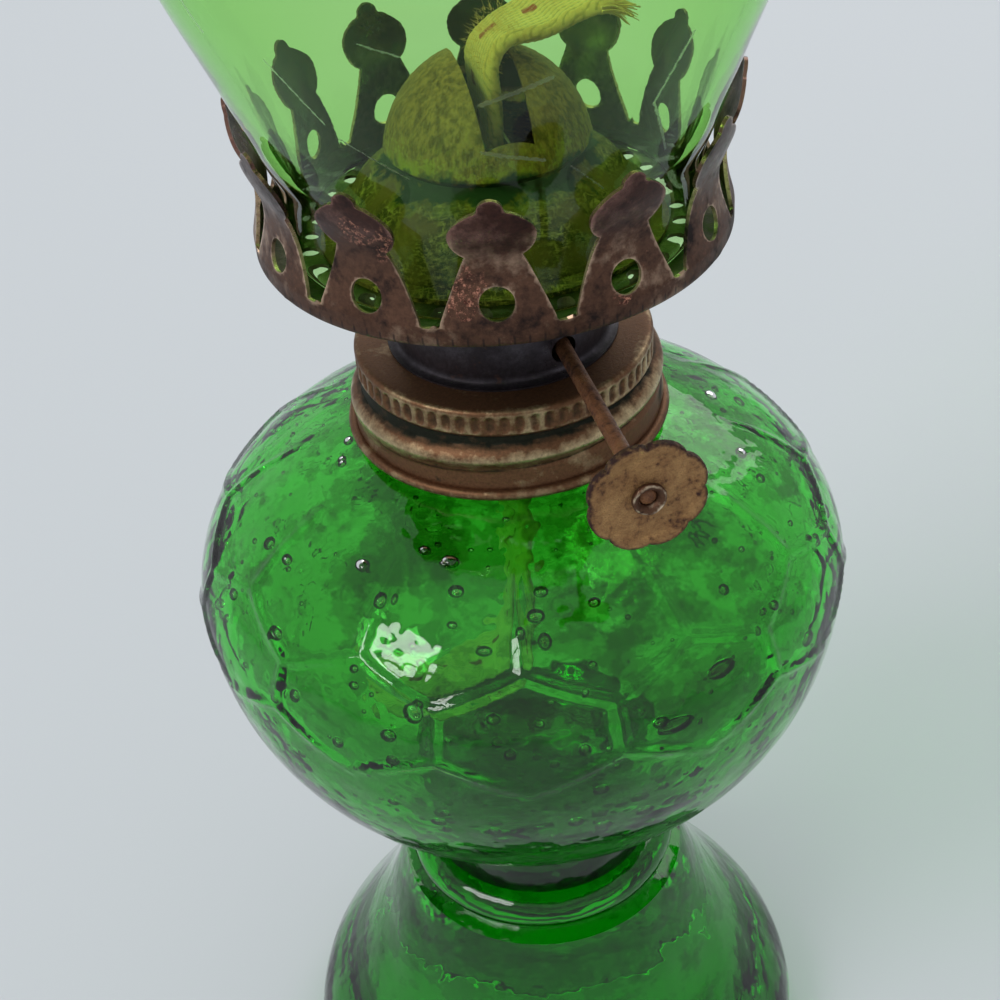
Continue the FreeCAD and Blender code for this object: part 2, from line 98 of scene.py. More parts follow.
cell_hip = 0.0951
cell_bottom = 0.0911
cell_line_end = 0.1105
line_half_width = 0.00050
line_height = 0.00038
bubble_count = 520
bubble_low = 0.074
bubble_high = 0.1125
bubble_radius_low = 0.00022
bubble_radius_high = 0.00090
bubble_least_depth = 0.0008
# Large bubbles seen on the front: turn in degrees, height and radius in metres, and how drawn out they are.
big_bubbles = (
    (-32.6, 0.1068, 0.0010, 0.7), (-29.5, 0.1072, 0.0007, 0.6), (-21, 0.0989, 0.0013, 1.0),
    (-9, 0.1050, 0.0006, 1.6), (2.6, 0.1050, 0.0010, 0.8), (-2, 0.1062, 0.0008, 0.7),
    (22.6, 0.0949, 0.0009, 2.6), (33, 0.0985, 0.0010, 2.0), (-52, 0.1010, 0.0009, 1.3),
    (-7, 0.0965, 0.0007, 1.0), (7, 0.0952, 0.0008, 1.0), (-16, 0.1085, 0.0008, 1.2),
    (14, 0.1070, 0.0006, 1.3), (41, 0.1040, 0.0007, 1.0), (-44, 0.0965, 0.0008, 1.0))
# Tints of the glass's cloudy patches, and the darker ones painted low on the font and in the foot as shade of the
# dark ground seen through it.
patch_tints = ((0.92, 1.0, 0.84), (0.29, 0.43, 0.14))
low_shade_tints = ((0.30, 0.56, 0.20), (0.15, 0.33, 0.09))


def straight(start, end, parts):
    """Evenly spaced points after start, up to end."""
    return [tuple(np.array(start) + (np.array(end) - start) * (i + 1) / parts) for i in range(parts)]


def bow(start, corner, end, parts):
    """Points after start of a curve that leaves it and reaches end along the lines to a corner."""
    a, b, c = (np.array(p) for p in (start, corner, end))
    shares = [(i + 1) / parts for i in range(parts)]
    return [tuple(a * (1 - t) ** 2 + b * 2 * t * (1 - t) + c * t * t) for t in shares]


def arc_through(start, middle, end, parts):
    """Points after start of the round arc through middle to end."""
    a, b, c = (np.array(p, float) for p in (start, middle, end))
    sides = np.array([b - a, c - a]) * 2
    centre = np.linalg.solve(sides, [b @ b - a @ a, c @ c - a @ a])
    first, passed, last = (math.atan2(*(p - centre)[::-1]) for p in (a, b, c))
    turn = (last - first) % math.tau
    if (passed - first) % math.tau > turn:
        turn -= math.tau
    angles = [first + turn * (i + 1) / parts for i in range(parts)]
    radius = np.linalg.norm(a - centre)
    return [(centre[0] + radius * math.cos(t), centre[1] + radius * math.sin(t)) for t in angles]


def smooth_line(start, through, parts):
    """Points after start along a natural cubic line through the given ones."""
    p = np.array([start, *through], float)
    run = np.concatenate([[0], np.cumsum(np.hypot(*np.diff(p, axis=0).T))])
    gap = np.diff(run)
    n = len(p)
    a, b = np.eye(n), np.zeros((n, 2))
    for i in range(1, n - 1):
        a[i, i - 1:i + 2] = gap[i - 1], 2 * (gap[i - 1] + gap[i]), gap[i]
        b[i] = 6 * ((p[i + 1] - p[i]) / gap[i] - (p[i] - p[i - 1]) / gap[i - 1])
    bend = np.linalg.solve(a, b)
    s = np.linspace(0, run[-1], parts + 1)[1:]
    k = np.clip(np.searchsorted(run, s) - 1, 0, n - 2)
    left, right, step = (run[k + 1] - s)[:, None], (s - run[k])[:, None], gap[k][:, None]
    line = (bend[k] * left ** 3 + bend[k + 1] * right ** 3) / (6 * step)
    line += (p[k] / step - bend[k] * step / 6) * left + (p[k + 1] / step - bend[k + 1] * step / 6) * right
    return [tuple(q) for q in line]


def trace(points, *runs):
    """Points followed by runs, each given as a curve, what it passes and ends at, and its parts."""
    points = list(points)
    for curve, *way in runs:
        points += curve(points[-1], *way)
    return points


def pick(active, *others):
    """Selects these pieces and nothing else."""
    bpy.ops.object.select_all(action="DESELECT")
    for piece in (active, *others):
        piece.select_set(True)
    bpy.context.view_layer.objects.active = active


def new_point(name):
    """A mesh of one vertex at the origin, open in edit mode."""
    bpy.ops.object.select_all(action="DESELECT")
    bpy.ops.mesh.primitive_plane_add(size=foot_radius)
    piece = bpy.context.object
    piece.name = piece.data.name = name
    bpy.ops.object.mode_set(mode="EDIT")
    bpy.ops.mesh.merge(type="CENTER")
    return piece


def draw_line(name, points):
    """A new piece in edit mode, drawn by pulling its vertex along (across, up) points as seen from the front."""
    piece = new_point(name)
    here = (0.0, 0.0)
    for i, (x, z) in enumerate(points):
        move = (x - here[0], 0, z - here[1])
        if i == 0:
            bpy.ops.transform.translate(value=move)
        else:
            bpy.ops.mesh.extrude_vertices_move(TRANSFORM_OT_translate={"value": move})
        here = (x, z)
    bpy.ops.mesh.select_all(action="SELECT")
    bpy.ops.mesh.remove_doubles(threshold=1e-7)
    return piece


def leave_edit(merge=None, inside=False):
    """Merges vertices nearer than a distance, turns the faces outwards or inwards and leaves edit mode."""
    bpy.ops.mesh.select_all(action="SELECT")
    if merge:
        bpy.ops.mesh.remove_doubles(threshold=merge)
    bpy.ops.mesh.normals_make_consistent(inside=inside)
    bpy.ops.object.mode_set(mode="OBJECT")


def turned_piece(name, points, steps):
    """A solid of revolution about the lamp's axis from (radius, height) points. A loop off the axis is closed."""
    on_axis = points[0][0] == 0 and points[-1][0] == 0
    piece = draw_line(name, points if on_axis else points + points[:1])
    bpy.ops.mesh.spin(steps=steps, angle=math.tau, center=(0, 0, 0), axis=(0, 0, 1))
    leave_edit(2e-6)
    return piece


def places(piece):
    """Vertex places as an array of rows."""
    co = np.empty(len(piece.data.vertices) * 3)
    piece.data.vertices.foreach_get("co", co)
    return co.reshape(-1, 3)


def apply_modifier(piece, kind, **settings):
    """Adds a modifier, sets it and applies it."""
    pick(piece)
    modifier = piece.modifiers.new(kind.lower(), kind)
    for name, value in settings.items():
        setattr(modifier, name, value)
    bpy.ops.object.modifier_apply(modifier=modifier.name)


def raise_relief(piece, weights, height):
    """Pushes the surface out along its normals by height times each vertex's weight."""
    group = piece.vertex_groups.new(name="relief")
    for i in np.nonzero(weights > 0.01)[0]:
        group.add([int(i)], float(weights[i]), "REPLACE")
    apply_modifier(piece, "DISPLACE", strength=height, mid_level=0, vertex_group="relief")
    piece.vertex_groups.clear()


def smooth(piece, degrees):
    pick(piece)
    bpy.ops.object.shade_smooth_by_angle(angle=math.radians(degrees))


def font_radius_at(height):
    rise = np.where(height > font_equator, font_rise, font_drop)
    return font_radius * np.sqrt(np.clip(1 - ((height - font_equator) / rise) ** 2, 0, 1))


def segment_distance(across, along, start, end):
    """Distance of points from the straight line between start and end."""
    dx, dy = end[0] - start[0], end[1] - start[1]
    reach = np.clip(((across - start[0]) * dx + (along - start[1]) * dy) / (dx * dx + dy * dy), 0, 1)
    return np.hypot(across - start[0] - reach * dx, along - start[1] - reach * dy)


def honeycomb(co):
    """How much of a honeycomb line's height each vertex carries."""
    heights = np.linspace(font_equator - font_drop, font_equator + font_rise, 2000)
    run = np.concatenate([[0], np.cumsum(np.hypot(np.diff(heights), np.diff(font_radius_at(heights))))])
    radius = np.hypot(co[:, 0], co[:, 1])
    turn = np.degrees(np.arctan2(co[:, 0], -co[:, 1]))
    cell = (turn - cell_start) / (360 / cell_count)
    fold = np.abs(cell - np.round(cell))
    cell_width = radius * math.tau / cell_count
    along = np.interp(co[:, 2], heights, run)
    nearest = np.full(len(co), 1.0)
    corners = ((0, cell_line_end), (0, cell_top), (0.5, cell_shoulder), (0.5, cell_hip), (0, cell_bottom))
    corners = [(share * cell_width, np.interp(height, heights, run)) for share, height in corners]
    for start, end in zip(corners, corners[1:]):
        nearest = np.minimum(nearest, segment_distance(fold * cell_width, along, start, end))
    weights = np.exp(-(nearest / line_half_width) ** 2)
    fade = np.clip((cell_line_end - co[:, 2]) / (cell_line_end - cell_top), 0, 1)
    on_font = np.abs(radius - font_radius_at(co[:, 2])) < font_wall / 4
    return np.where(on_font & (co[:, 2] < cell_line_end), weights * fade ** 0.5, 0)


def glass_profile():
    flank = [(foot_radius * across, foot_height * up) for across, up in foot_flank_shares]
    low_angle = -math.acos(font_foot_radius / font_radius)
    high_angle = math.acos((neck_radius + neck_root_spread) / font_radius)
    inner_high = math.acos(neck_bore / (font_radius - font_wall))
    band_angle = math.asin((bubble_low - font_equator) / font_drop)

    def oval(angles, shrink):
        rises = [(font_rise if a > 0 else font_drop) - shrink for a in angles]
        return [((font_radius - shrink) * math.cos(a), font_equator + rise * math.sin(a))
                for a, rise in zip(angles, rises)]

    underside = oval(np.linspace(low_angle, band_angle, 9), 0)
    side = oval(np.linspace(band_angle, 0, 24)[1:], 0) + oval(np.linspace(0, high_angle, 65)[1:], 0)
    root, shoulder = underside[0], side[-1][1]
    slope = (font_equator - root[1]) / root[0] * (font_radius / font_drop) ** 2
    stem_corner = root[1] - (root[0] - stem_radius) / slope
    stem_end = stem_corner - math.hypot(root[0] - stem_radius, root[1] - stem_corner)
    points = trace(
        [(0, foot_hollow_height)],
        (bow, (foot_hollow_corner, foot_hollow_height), (foot_rest_inner, 0), 10),
        (straight, (foot_radius - foot_edge_radius, 0), 1),
        (bow, (foot_radius, 0), (foot_radius, foot_edge_radius), 3),
        (straight, (foot_radius, foot_band_height), 1),
        (smooth_line, flank + [(waist_radius, foot_height)], 16),
        (bow, (knop_radius - waist_groove, foot_height), (knop_radius - waist_groove / 2, knop_low), 3),
        (arc_through, (knop_radius, (knop_low + knop_top) / 2), (stem_radius, knop_top), 6),
        (straight, (stem_radius, stem_end), 1),
        (bow, (stem_radius, stem_corner), root, 3))
    points = trace(
        points + underside[1:] + side,
        (bow, (neck_radius, shoulder), (neck_radius, shoulder + neck_root_spread), 4),
        (straight, (neck_radius, neck_rim - neck_rim_round), 16),
        (bow, (neck_radius, neck_rim), (neck_radius - neck_rim_round, neck_rim), 3),
        (straight, (neck_bore, neck_rim), 1))
    points += oval(np.linspace(inner_high, 0, 12), font_wall)
    points += oval(np.linspace(0, -math.pi / 2, 14)[1:-1], font_wall)
    return points + [(0, font_equator - font_drop + font_wall)]


def neck_thread(co):
    """Weight of the ridge that winds up the neck."""
    turn = np.arctan2(co[:, 0], -co[:, 1]) / math.tau
    offset = (co[:, 2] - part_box("screw_cap")[1].z + thread_under_cap_top) / thread_pitch - turn
    away = np.abs(offset - np.round(offset)) * thread_pitch
    weights = np.cos(np.clip(away / thread_half_width, 0, 1) * math.pi / 2)
    on_neck = np.abs(np.hypot(co[:, 0], co[:, 1]) - neck_radius) < neck_rim_round / 2
    inside = (co[:, 2] > thread_low) & (co[:, 2] < thread_high)
    return np.where(on_neck & inside, weights, 0)


def add_bubbles(glass):
    """Air bubbles as small cavities inside the wall, flattened between its two faces."""
    random.seed(7)
    bubbles = new_point("bubbles")
    bpy.ops.mesh.select_all(action="SELECT")
    bpy.ops.mesh.delete(type="VERT")
    rows = list(big_bubbles)
    for _ in range(bubble_count):
        size = bubble_radius_low + (bubble_radius_high - bubble_radius_low) * random.random() ** 2
        rows.append((random.uniform(-180, 180), random.uniform(bubble_low, bubble_high), size,
                     random.uniform(1, 1.4)))
    for turn, height, size, long in rows:
        angle = math.radians(turn)
        depth = max(random.uniform(0.3, 0.75) * font_wall, bubble_least_depth)
        thick = min(size, depth * 0.7, (font_wall - depth) * 0.7)
        radius = float(font_radius_at(height)) - depth
        rise = font_rise if height > font_equator else font_drop
        slope = math.atan2((height - font_equator) / rise ** 2, radius / font_radius ** 2)
        bpy.ops.mesh.primitive_ico_sphere_add(
            subdivisions=2, radius=1, location=(radius * math.sin(angle), -radius * math.cos(angle), height),
            rotation=(-slope, 0, angle), scale=(size * long, thick, size))
    leave_edit(inside=True)
    pick(glass, bubbles)
    bpy.ops.object.join()


class Value:
    """A node's output. Sums and products of it add Math nodes to its tree."""

    def __init__(self, tree, output):
        self.tree, self.output = tree, output

    def maths(self, operation, *others):
        return add_node(self.tree, "Math", (self, *others), operation=operation)

    def __add__(self, other):
        return self.maths("ADD", other)

    def __sub__(self, other):
        return self.maths("SUBTRACT", other)

    def __rsub__(self, other):
        return add_node(self.tree, "Math", (other, self), operation="SUBTRACT")

    def __mul__(self, other):
        return self.maths("MULTIPLY", other)

    def larger(self, other):
        return self.maths("MAXIMUM", other)

    def spread(self, low, high, to_low=0.0, to_high=1.0):
        """Stretched from low..high to to_low..to_high, clamped."""
        return add_node(self.tree, "MapRange", (self, low, high, to_low, to_high))

    def patchy(self, to_low, to_high):
        """The middle of a noise pattern, where nearly all of it lies, stretched to a range."""
        return self.spread(0.3, 0.7, to_low, to_high)


def feed(socket, given):
    """Links a value to a socket, or sets a plain one there."""
    if isinstance(given, Value):
        given.tree.links.new(given.output, socket)
    else:
        socket.default_value = (*given, 1) if socket.type == "RGBA" else given


def add_node(tree, kind, given=(), output=0, **settings):
    """Adds a node, sets it, feeds its sockets in order or by name, and returns one of its outputs."""
    node = tree.nodes.new("ShaderNode" + kind)
    for name, value in settings.items():
        setattr(node, name, value)
    for socket, value in given.items() if isinstance(given, dict) else enumerate(given):
        feed(node.inputs[socket], value)
    return Value(tree, node.outputs[output])


def own_place(tree):
    """The piece's own coordinates."""
    return add_node(tree, "TexCoord", output="Object")


def axes(place):
    """The x, y and z of a place."""
    node = place.tree.nodes.new("ShaderNodeSeparateXYZ")
    feed(node.inputs[0], place)
    return [Value(place.tree, output) for output in node.outputs]


def noise(place, scale, detail, rough=0.6, stretch=None):
    if stretch:
        place = add_node(place.tree, "Mapping", {"Vector": place, "Scale": stretch})
    values = {"Vector": place, "Scale": scale, "Detail": detail, "Roughness": rough}
    return add_node(place.tree, "TexNoise", values)


def mixed(share, first, second, blend="MIX"):
    """Mixes two colours by a share."""
    tree = next(given.tree for given in (share, first, second) if isinstance(given, Value))
    return add_node(tree, "Mix", {0: share, 6: first, 7: second}, 2, data_type="RGBA", blend_type=blend)


def new_group(name, inputs, outputs):
    """A shader node group with sockets {name: value} in, {name: kind} out, and what they give and take."""
    group = bpy.data.node_groups.new(name, "ShaderNodeTree")
    for socket, value in inputs.items():
        kind = "Color" if isinstance(value, tuple) else "Float"
        made = group.interface.new_socket(socket, in_out="INPUT", socket_type="NodeSocket" + kind)
        made.default_value = (*value, 1) if kind == "Color" else value
    for socket, kind in outputs.items():
        group.interface.new_socket(socket, in_out="OUTPUT", socket_type="NodeSocket" + kind)
    given = {output.name: Value(group, output) for output in group.nodes.new("NodeGroupInput").outputs}
    return group, given, group.nodes.new("NodeGroupOutput").inputs


def place_group(tree, group, **values):
    """Puts a group in a tree, its sockets named with underscores for spaces, and returns its outputs."""
    node = tree.nodes.new("ShaderNodeGroup")
    node.node_tree = group
    for name, value in values.items():
        feed(node.inputs[name.replace("_", " ")], value)
    return {output.name: Value(tree, output) for output in node.outputs}


def new_material(name, **values):
    """A Principled material with values on its own sockets. Returns it, its tree and its shader."""
    material = bpy.data.materials.new(name)
    material.use_nodes = True
    shader = material.node_tree.nodes["Principled BSDF"]
    for socket, value in values.items():
        feed(shader.inputs[socket.replace("_", " ")], value)
    return material, material.node_tree, shader


def paint(tree, colour, rough=None):
    """Feeds a material's colour and roughness."""
    inputs = tree.nodes["Principled BSDF"].inputs
    feed(inputs["Base Color"], colour)
    if rough:
        feed(inputs["Roughness"], rough)


def ripple_group():
    """Slow waves and fine pitting of hand-pressed or blown glass, as a normal and a roughness."""
    group, given, put = new_group(
        "glass_ripple",
        {"Wave Scale": 90.0, "Wave Depth": 0.0004, "Pit Scale": 900.0, "Pit Depth": 0.00002, "Smear": 0.1},
        {"Normal": "Vector", "Roughness": "Float"})
    place = own_place(group)
    wave = noise(place, given["Wave Scale"], 1, 0.5)
    pit = noise(place, given["Pit Scale"], 2, 0.5)
    low = add_node(group, "Bump", {"Height": wave, "Distance": given["Wave Depth"]})
    feed(put["Normal"], add_node(group, "Bump", {"Height": pit, "Distance": given["Pit Depth"], "Normal": low}))
    feed(put["Roughness"], noise(place, 160, 5, 0.5).spread(0.55, 0.75, 0.0, given["Smear"]))
    return group


def glass_material(name, refraction, surface_tint, lamp_tint, body_colour, body_density, **ripple):
    """Glass tinted in its body, which lets tinted lamp light through to what it holds."""
    material, tree, shader = new_material(
        name, Base_Color=surface_tint, Transmission_Weight=1.0, IOR=refraction, Metallic=0.0)
    surface = place_group(tree, glass_ripple, **ripple)
    feed(shader.inputs["Normal"], surface["Normal"])
    feed(shader.inputs["Roughness"], surface["Roughness"])
    lamp_way = add_node(tree, "LightPath", output="Is Shadow Ray")
    clear = add_node(tree, "BsdfTransparent", {"Color": lamp_tint})
    out = tree.nodes["Material Output"].inputs
    feed(out["Surface"], add_node(tree, "MixShader", (lamp_way, Value(tree, shader.outputs["BSDF"]), clear)))
    feed(out["Volume"], add_node(tree, "VolumeAbsorption", {"Color": body_colour, "Density": body_density}))
    return material, surface


def cloud_and_shade_glass(tree):
    """Tints the glass in cloudy patches, and darkens it towards the bottom of the font and in the foot as painted
    shade of the dark ground seen through it.
    """
    place = own_place(tree)
    height = axes(place)[2]
    cloud = noise(place, 48, 3, 0.5).patchy(0.0, 0.5) + noise(place, 120, 5).patchy(0.0, 0.5)
    streak = noise(place, 230, 4, 0.6, (1, 1, 2.5))
    height = height + cloud.spread(0.25, 0.75, -0.008, 0.008)
    # Painted shade: the glass is darker towards the bottom of the font and in the foot.
    depth = height.spread(font_equator + font_rise / 4, font_equator - font_drop / 2)
    patch = (cloud + streak.patchy(-0.16, 0.16)).spread(0.51, 0.60)
    paint(tree, mixed(depth, mixed(patch, *patch_tints), mixed(patch, *low_shade_tints)))


def finish(piece, material, body, slot, *nodes):
    """Gives a finished piece its material and its body, and hides the CAD nodes it stands for. The material slot
    is not used.
    """
    piece.data.materials.clear()
    piece.data.materials.append(material)
    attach(piece, body)
    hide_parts(*nodes)


green_glass = turned_piece("green_glass_base", glass_profile(), glass_steps)
raise_relief(green_glass, honeycomb(places(green_glass)), line_height)
raise_relief(green_glass, neck_thread(places(green_glass)), thread_depth)
add_bubbles(green_glass)
smooth(green_glass, 50)
glass_ripple = ripple_group()
bottle_green, _ = glass_material(
    "bottle_green_glass", 1.5, (0.86, 1.0, 0.86), (0.50, 0.82, 0.50), (0.08, 0.92, 0.07), 400,
    Wave_Scale=70.0, Wave_Depth=0.0009, Pit_Scale=190.0, Pit_Depth=0.00032, Smear=0.12)
cloud_and_shade_glass(bottle_green.node_tree)
finish(green_glass, bottle_green, "base", "font_glass", "glass_base")

# Chimney: a thin light green glass with a straight foot, a bulb and a drawn-in top, blown and then
# cut and fire-polished at both ends. It stands on the air plate inside the prongs.
chimney_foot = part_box("chimney")[0].z
chimney_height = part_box("chimney")[1].z - chimney_foot
chimney_bulb_radius = 0.0356
chimney_wall = 0.002
chimney_steps = 256
chimney_outline_shares = (
    (0.64, 0.0), (0.645, 0.075), (0.669, 0.094), (0.775, 0.177), (0.885, 0.261), (0.955, 0.346),
    (1.0, 0.455), (0.93, 0.58), (0.75, 0.74), (0.61, 0.88), (0.565, 1.0))
# Scuffs seen on the front and a few behind: the (turn in degrees, height) of both ends, and the half width.
chimney_scuffs = (
    ((-1.4, 0.1654), (10.4, 0.1675), 0.00034), ((-1.8, 0.1599), (9.8, 0.1582), 0.00028),
    ((36.6, 0.1683), (31.9, 0.1616), 0.00020), ((31.9, 0.1616), (39.6, 0.1550), 0.00018),
    ((-19.1, 0.1720), (-12.9, 0.1708), 0.00012), ((-38.0, 0.1690), (-31.0, 0.1625), 0.00012),
    ((-29.0, 0.1609), (-16.9, 0.1568), 0.00010), ((15.3, 0.1570), (24.0, 0.1530), 0.00010),
    ((-60.0, 0.1800), (-52.0, 0.1700), 0.00020), ((70.0, 0.1850), (74.0, 0.1730), 0.00015),
    ((150.0, 0.1760), (163.0, 0.1810), 0.00030), ((-130.0, 0.1650), (-118.0, 0.1700), 0.00020))
scuffed_radius = chimney_bulb_radius * 0.8
scuff_dullness = 0.3
scuff_sheen = 0.45
chimney_outline = [(chimney_bulb_radius * across, chimney_foot + chimney_height * up)
                   for across, up in chimney_outline_shares]


def chimney_profile():
    half = chimney_wall / 2
    inner = [(across - chimney_wall, up) for across, up in reversed(chimney_outline)]
    walls = [trace(line[:1], (smooth_line, line[1:], 150)) for line in (chimney_outline, inner)]
    outside, inside = ([p for p in wall if chimney_foot + half / 2 < p[1] < cad_high.z - half] for wall in walls)
    rim = arc_through(outside[-1], (chimney_outline[-1][0] - half, cad_high.z), inside[0], 8)
    foot_round = arc_through(inside[-1], (chimney_outline[0][0] - half, chimney_foot), outside[0], 6)
    return outside + rim + inside[1:] + foot_round[:-1]


def set_attribute(piece, name, values):
    layer = piece.data.attributes.new(name, "FLOAT", "POINT")
    layer.data.foreach_set("value", np.asarray(values, float))


def attribute_value(tree, name):
    return add_node(tree, "Attribute", output="Fac", attribute_name=name)


def between(first, second, operation, output="Vector"):
    """Vector maths of two places."""
    tree = first.tree
    return add_node(tree, "VectorMath", (first, second), output, operation=operation)


def scuff(tree, surface, strokes):
    """Dulls the outside of the glass along straight strokes, measured on its unrolled surface."""
    place = own_place(tree)
    x, y, z = axes(place)
    flat = add_node(tree, "CombineXYZ", (x.maths("ARCTAN2", y * -1.0) * scuffed_radius, z))
    ragged = noise(place, 2500, 4, 0.7).patchy(-0.00012, 0.00012)
    marks = 0.0
    for start, end, half_width in strokes:
        start, end = (Vector((math.radians(turn) * scuffed_radius, up, 0)) for turn, up in (start, end))
        reach = end - start
        offset = between(flat, tuple(start), "SUBTRACT")
        share = between(offset, tuple(reach / reach.length_squared), "DOT_PRODUCT", "Value").spread(0, 1)
        nearest = add_node(tree, "CombineXYZ", (share * reach.x, share * reach.y))
        gap = between(offset, nearest, "DISTANCE", "Value") + ragged
        marks = gap.spread(half_width, half_width * 0.6).larger(marks)
    marks = marks * attribute_value(tree, "outside")
    shader = tree.nodes["Principled BSDF"]
    feed(shader.inputs["Roughness"], surface["Roughness"].larger(marks * scuff_dullness))
    feed(shader.inputs["Sheen Weight"], marks * scuff_sheen)


chimney_shell = turned_piece("chimney_shell", chimney_profile(), chimney_steps)
shell_places = places(chimney_shell)
outline_radii, outline_heights = zip(*chimney_outline)
wall_middle = np.interp(shell_places[:, 2], outline_heights, outline_radii) - chimney_wall / 2
set_attribute(chimney_shell, "outside", np.hypot(shell_places[:, 0], shell_places[:, 1]) > wall_middle)
smooth(chimney_shell, 60)
light_green, chimney_surface = glass_material(
    "light_green_glass", 1.3, (0.98, 1.0, 0.97), (0.93, 0.975, 0.85), (0.46, 0.90, 0.12), 340,
    Wave_Scale=35.0, Wave_Depth=0.00008, Pit_Scale=900.0, Pit_Depth=0.000002, Smear=0.05)
scuff(light_green.node_tree, chimney_surface, chimney_scuffs)
finish(chimney_shell, light_green, "chimney_glass", "chimney_glass", "chimney")

# Screw cap: thin brass stamped and spun. Its edge is knurled for the fingers, a rolled bead follows the
# glass thread round it, and its lip is curled outwards. It is worn bright on the raised parts only.
cap_foot, cap_top = (corner.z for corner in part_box("screw_cap"))
cap_sheet = 0.0005
cap_radius = 0.0170
cap_corner = 0.0008
cap_bore = 0.0115
cap_waist = 0.01675
cap_waist_slant = 0.0005
cap_band_low = cap_top - 0.0029
cap_band_high = cap_top - 0.0006
cap_flare_top = cap_top - 0.0063
cap_flare_low = cap_top - 0.0072
cap_flare = 0.0176
cap_skirt = 0.0178
lip_centre = 0.0181
lip_radius = 0.0006
lip_start = 120
lip_step = 30
flute_count = 66
flute_columns = 8
flute_depth = 0.00030
flute_half_share = 0.33
flute_half_height_share = 0.92
bead_radius = 0.0013
bead_reach = 1.15
bead_fade = 0.04
bead_centre = 0.016775
bead_turns = (-0.8, 0.54)


def cap_profile():
    lip_height = cap_foot + lip_radius
    points = trace(
        [(cap_bore, cap_top)],
        (straight, (cap_radius - cap_corner, cap_top), 6),
        (bow, (cap_radius, cap_top), (cap_radius, cap_band_high), 5),
        (straight, (cap_radius, cap_band_low), 12),
        (straight, (cap_waist, cap_band_low - cap_waist_slant), 3),
        (straight, (cap_waist, cap_flare_top), 16),
        (straight, (cap_flare, cap_flare_low), 5),
        (straight, (cap_skirt, lip_height + lip_radius), 10))
    around = [math.radians(lip_start - lip_step * i) for i in range(12)]
    points += [(lip_centre + lip_radius * math.cos(a), lip_height + lip_radius * math.sin(a)) for a in around]
    return points + [(cap_flare - cap_sheet, cap_flare_low), (cap_waist - cap_sheet, cap_flare_top),
                     (cap_waist - cap_sheet, cap_top - cap_sheet), (cap_bore, cap_top - cap_sheet)]


def move_to(piece, co):
    piece.data.vertices.foreach_set("co", np.asarray(co, float).ravel())
    piece.data.update()


def shape_cap(piece):
    """Presses the knurl and the thread bead into the cap, and notes how worn each spot is and how far it is
    darkened by grime and painted shade.
    """
    co = places(piece)
    height = co[:, 2]
    radius = np.hypot(co[:, 0], co[:, 1])
    angle = np.arctan2(co[:, 1], co[:, 0])
    turn = np.arctan2(co[:, 0], -co[:, 1]) / math.tau
    outside = radius > cap_waist - cap_sheet / 2
    in_band = outside & (height > cap_band_low) & (height < cap_band_high)
    across = (angle / math.tau * flute_count + 0.5) % 1 - 0.5
    up = (height - (cap_band_low + cap_band_high) / 2) / (cap_band_high - cap_band_low) * 2
    dimple = np.where(in_band, np.clip(1 - (across / flute_half_share) ** 2 - (up / flute_half_height_share) ** 4, 0, 1) ** 0.8, 0)
    bead = np.zeros(len(co))
    for wrap in (-1, 0, 1):
        along = turn + wrap
        away = np.abs(height - (cap_top - thread_under_cap_top + thread_pitch * along)) / bead_radius
        fade = np.clip(np.minimum(along - bead_turns[0], bead_turns[1] - along) / bead_fade, 0, 1)
        swell = np.cos(np.clip(away / bead_reach, 0, 1) * math.pi / 2) ** 0.75
        bead = np.maximum(bead, np.where(away < bead_reach, swell, 0) * fade)
    on_wall = outside & (height < cap_band_low) & (height > cap_foot + lip_radius * 2)
    bead = np.where(on_wall, bead, 0)
    crest = bead_centre + bead_radius
    target = np.maximum(radius, radius + (crest - radius) * bead) - flute_depth * dimple
    moved = co.copy()
    moved[:, :2] *= (target / np.maximum(radius, 1e-6))[:, None]
    move_to(piece, moved)
    land = np.where(in_band, 0.62 - dimple * 0.9, 0)
    lip = np.clip((radius - lip_centre) / lip_radius, 0, 1) * (height < cap_foot + lip_radius * 2)
    top_edge = np.exp(-((radius - cap_radius + 0.0003) / 0.0004) ** 2) * (height > cap_band_high)
    wear = np.maximum.reduce([land, bead ** 2.5, lip * 0.4, top_edge * 0.5])
    # Darkening in the knurl dimples, in the groove under the band and beside the bead: grime, and painted shade
    # in these recesses.
    groove = on_wall & (height > cap_flare_top - 0.0004) & (height < cap_band_low - 0.0002)
    beside = on_wall * np.exp(-((bead - 0.22) / 0.22) ** 2) * (bead > 0.01)
    darkening = np.maximum.reduce([dimple * 0.42, groove * (1 - bead ** 0.4) * 0.8, beside * 0.6])
    set_attribute(piece, "wear", np.clip(wear, 0, 1))
    set_attribute(piece, "darkening", np.clip(darkening, 0, 1))


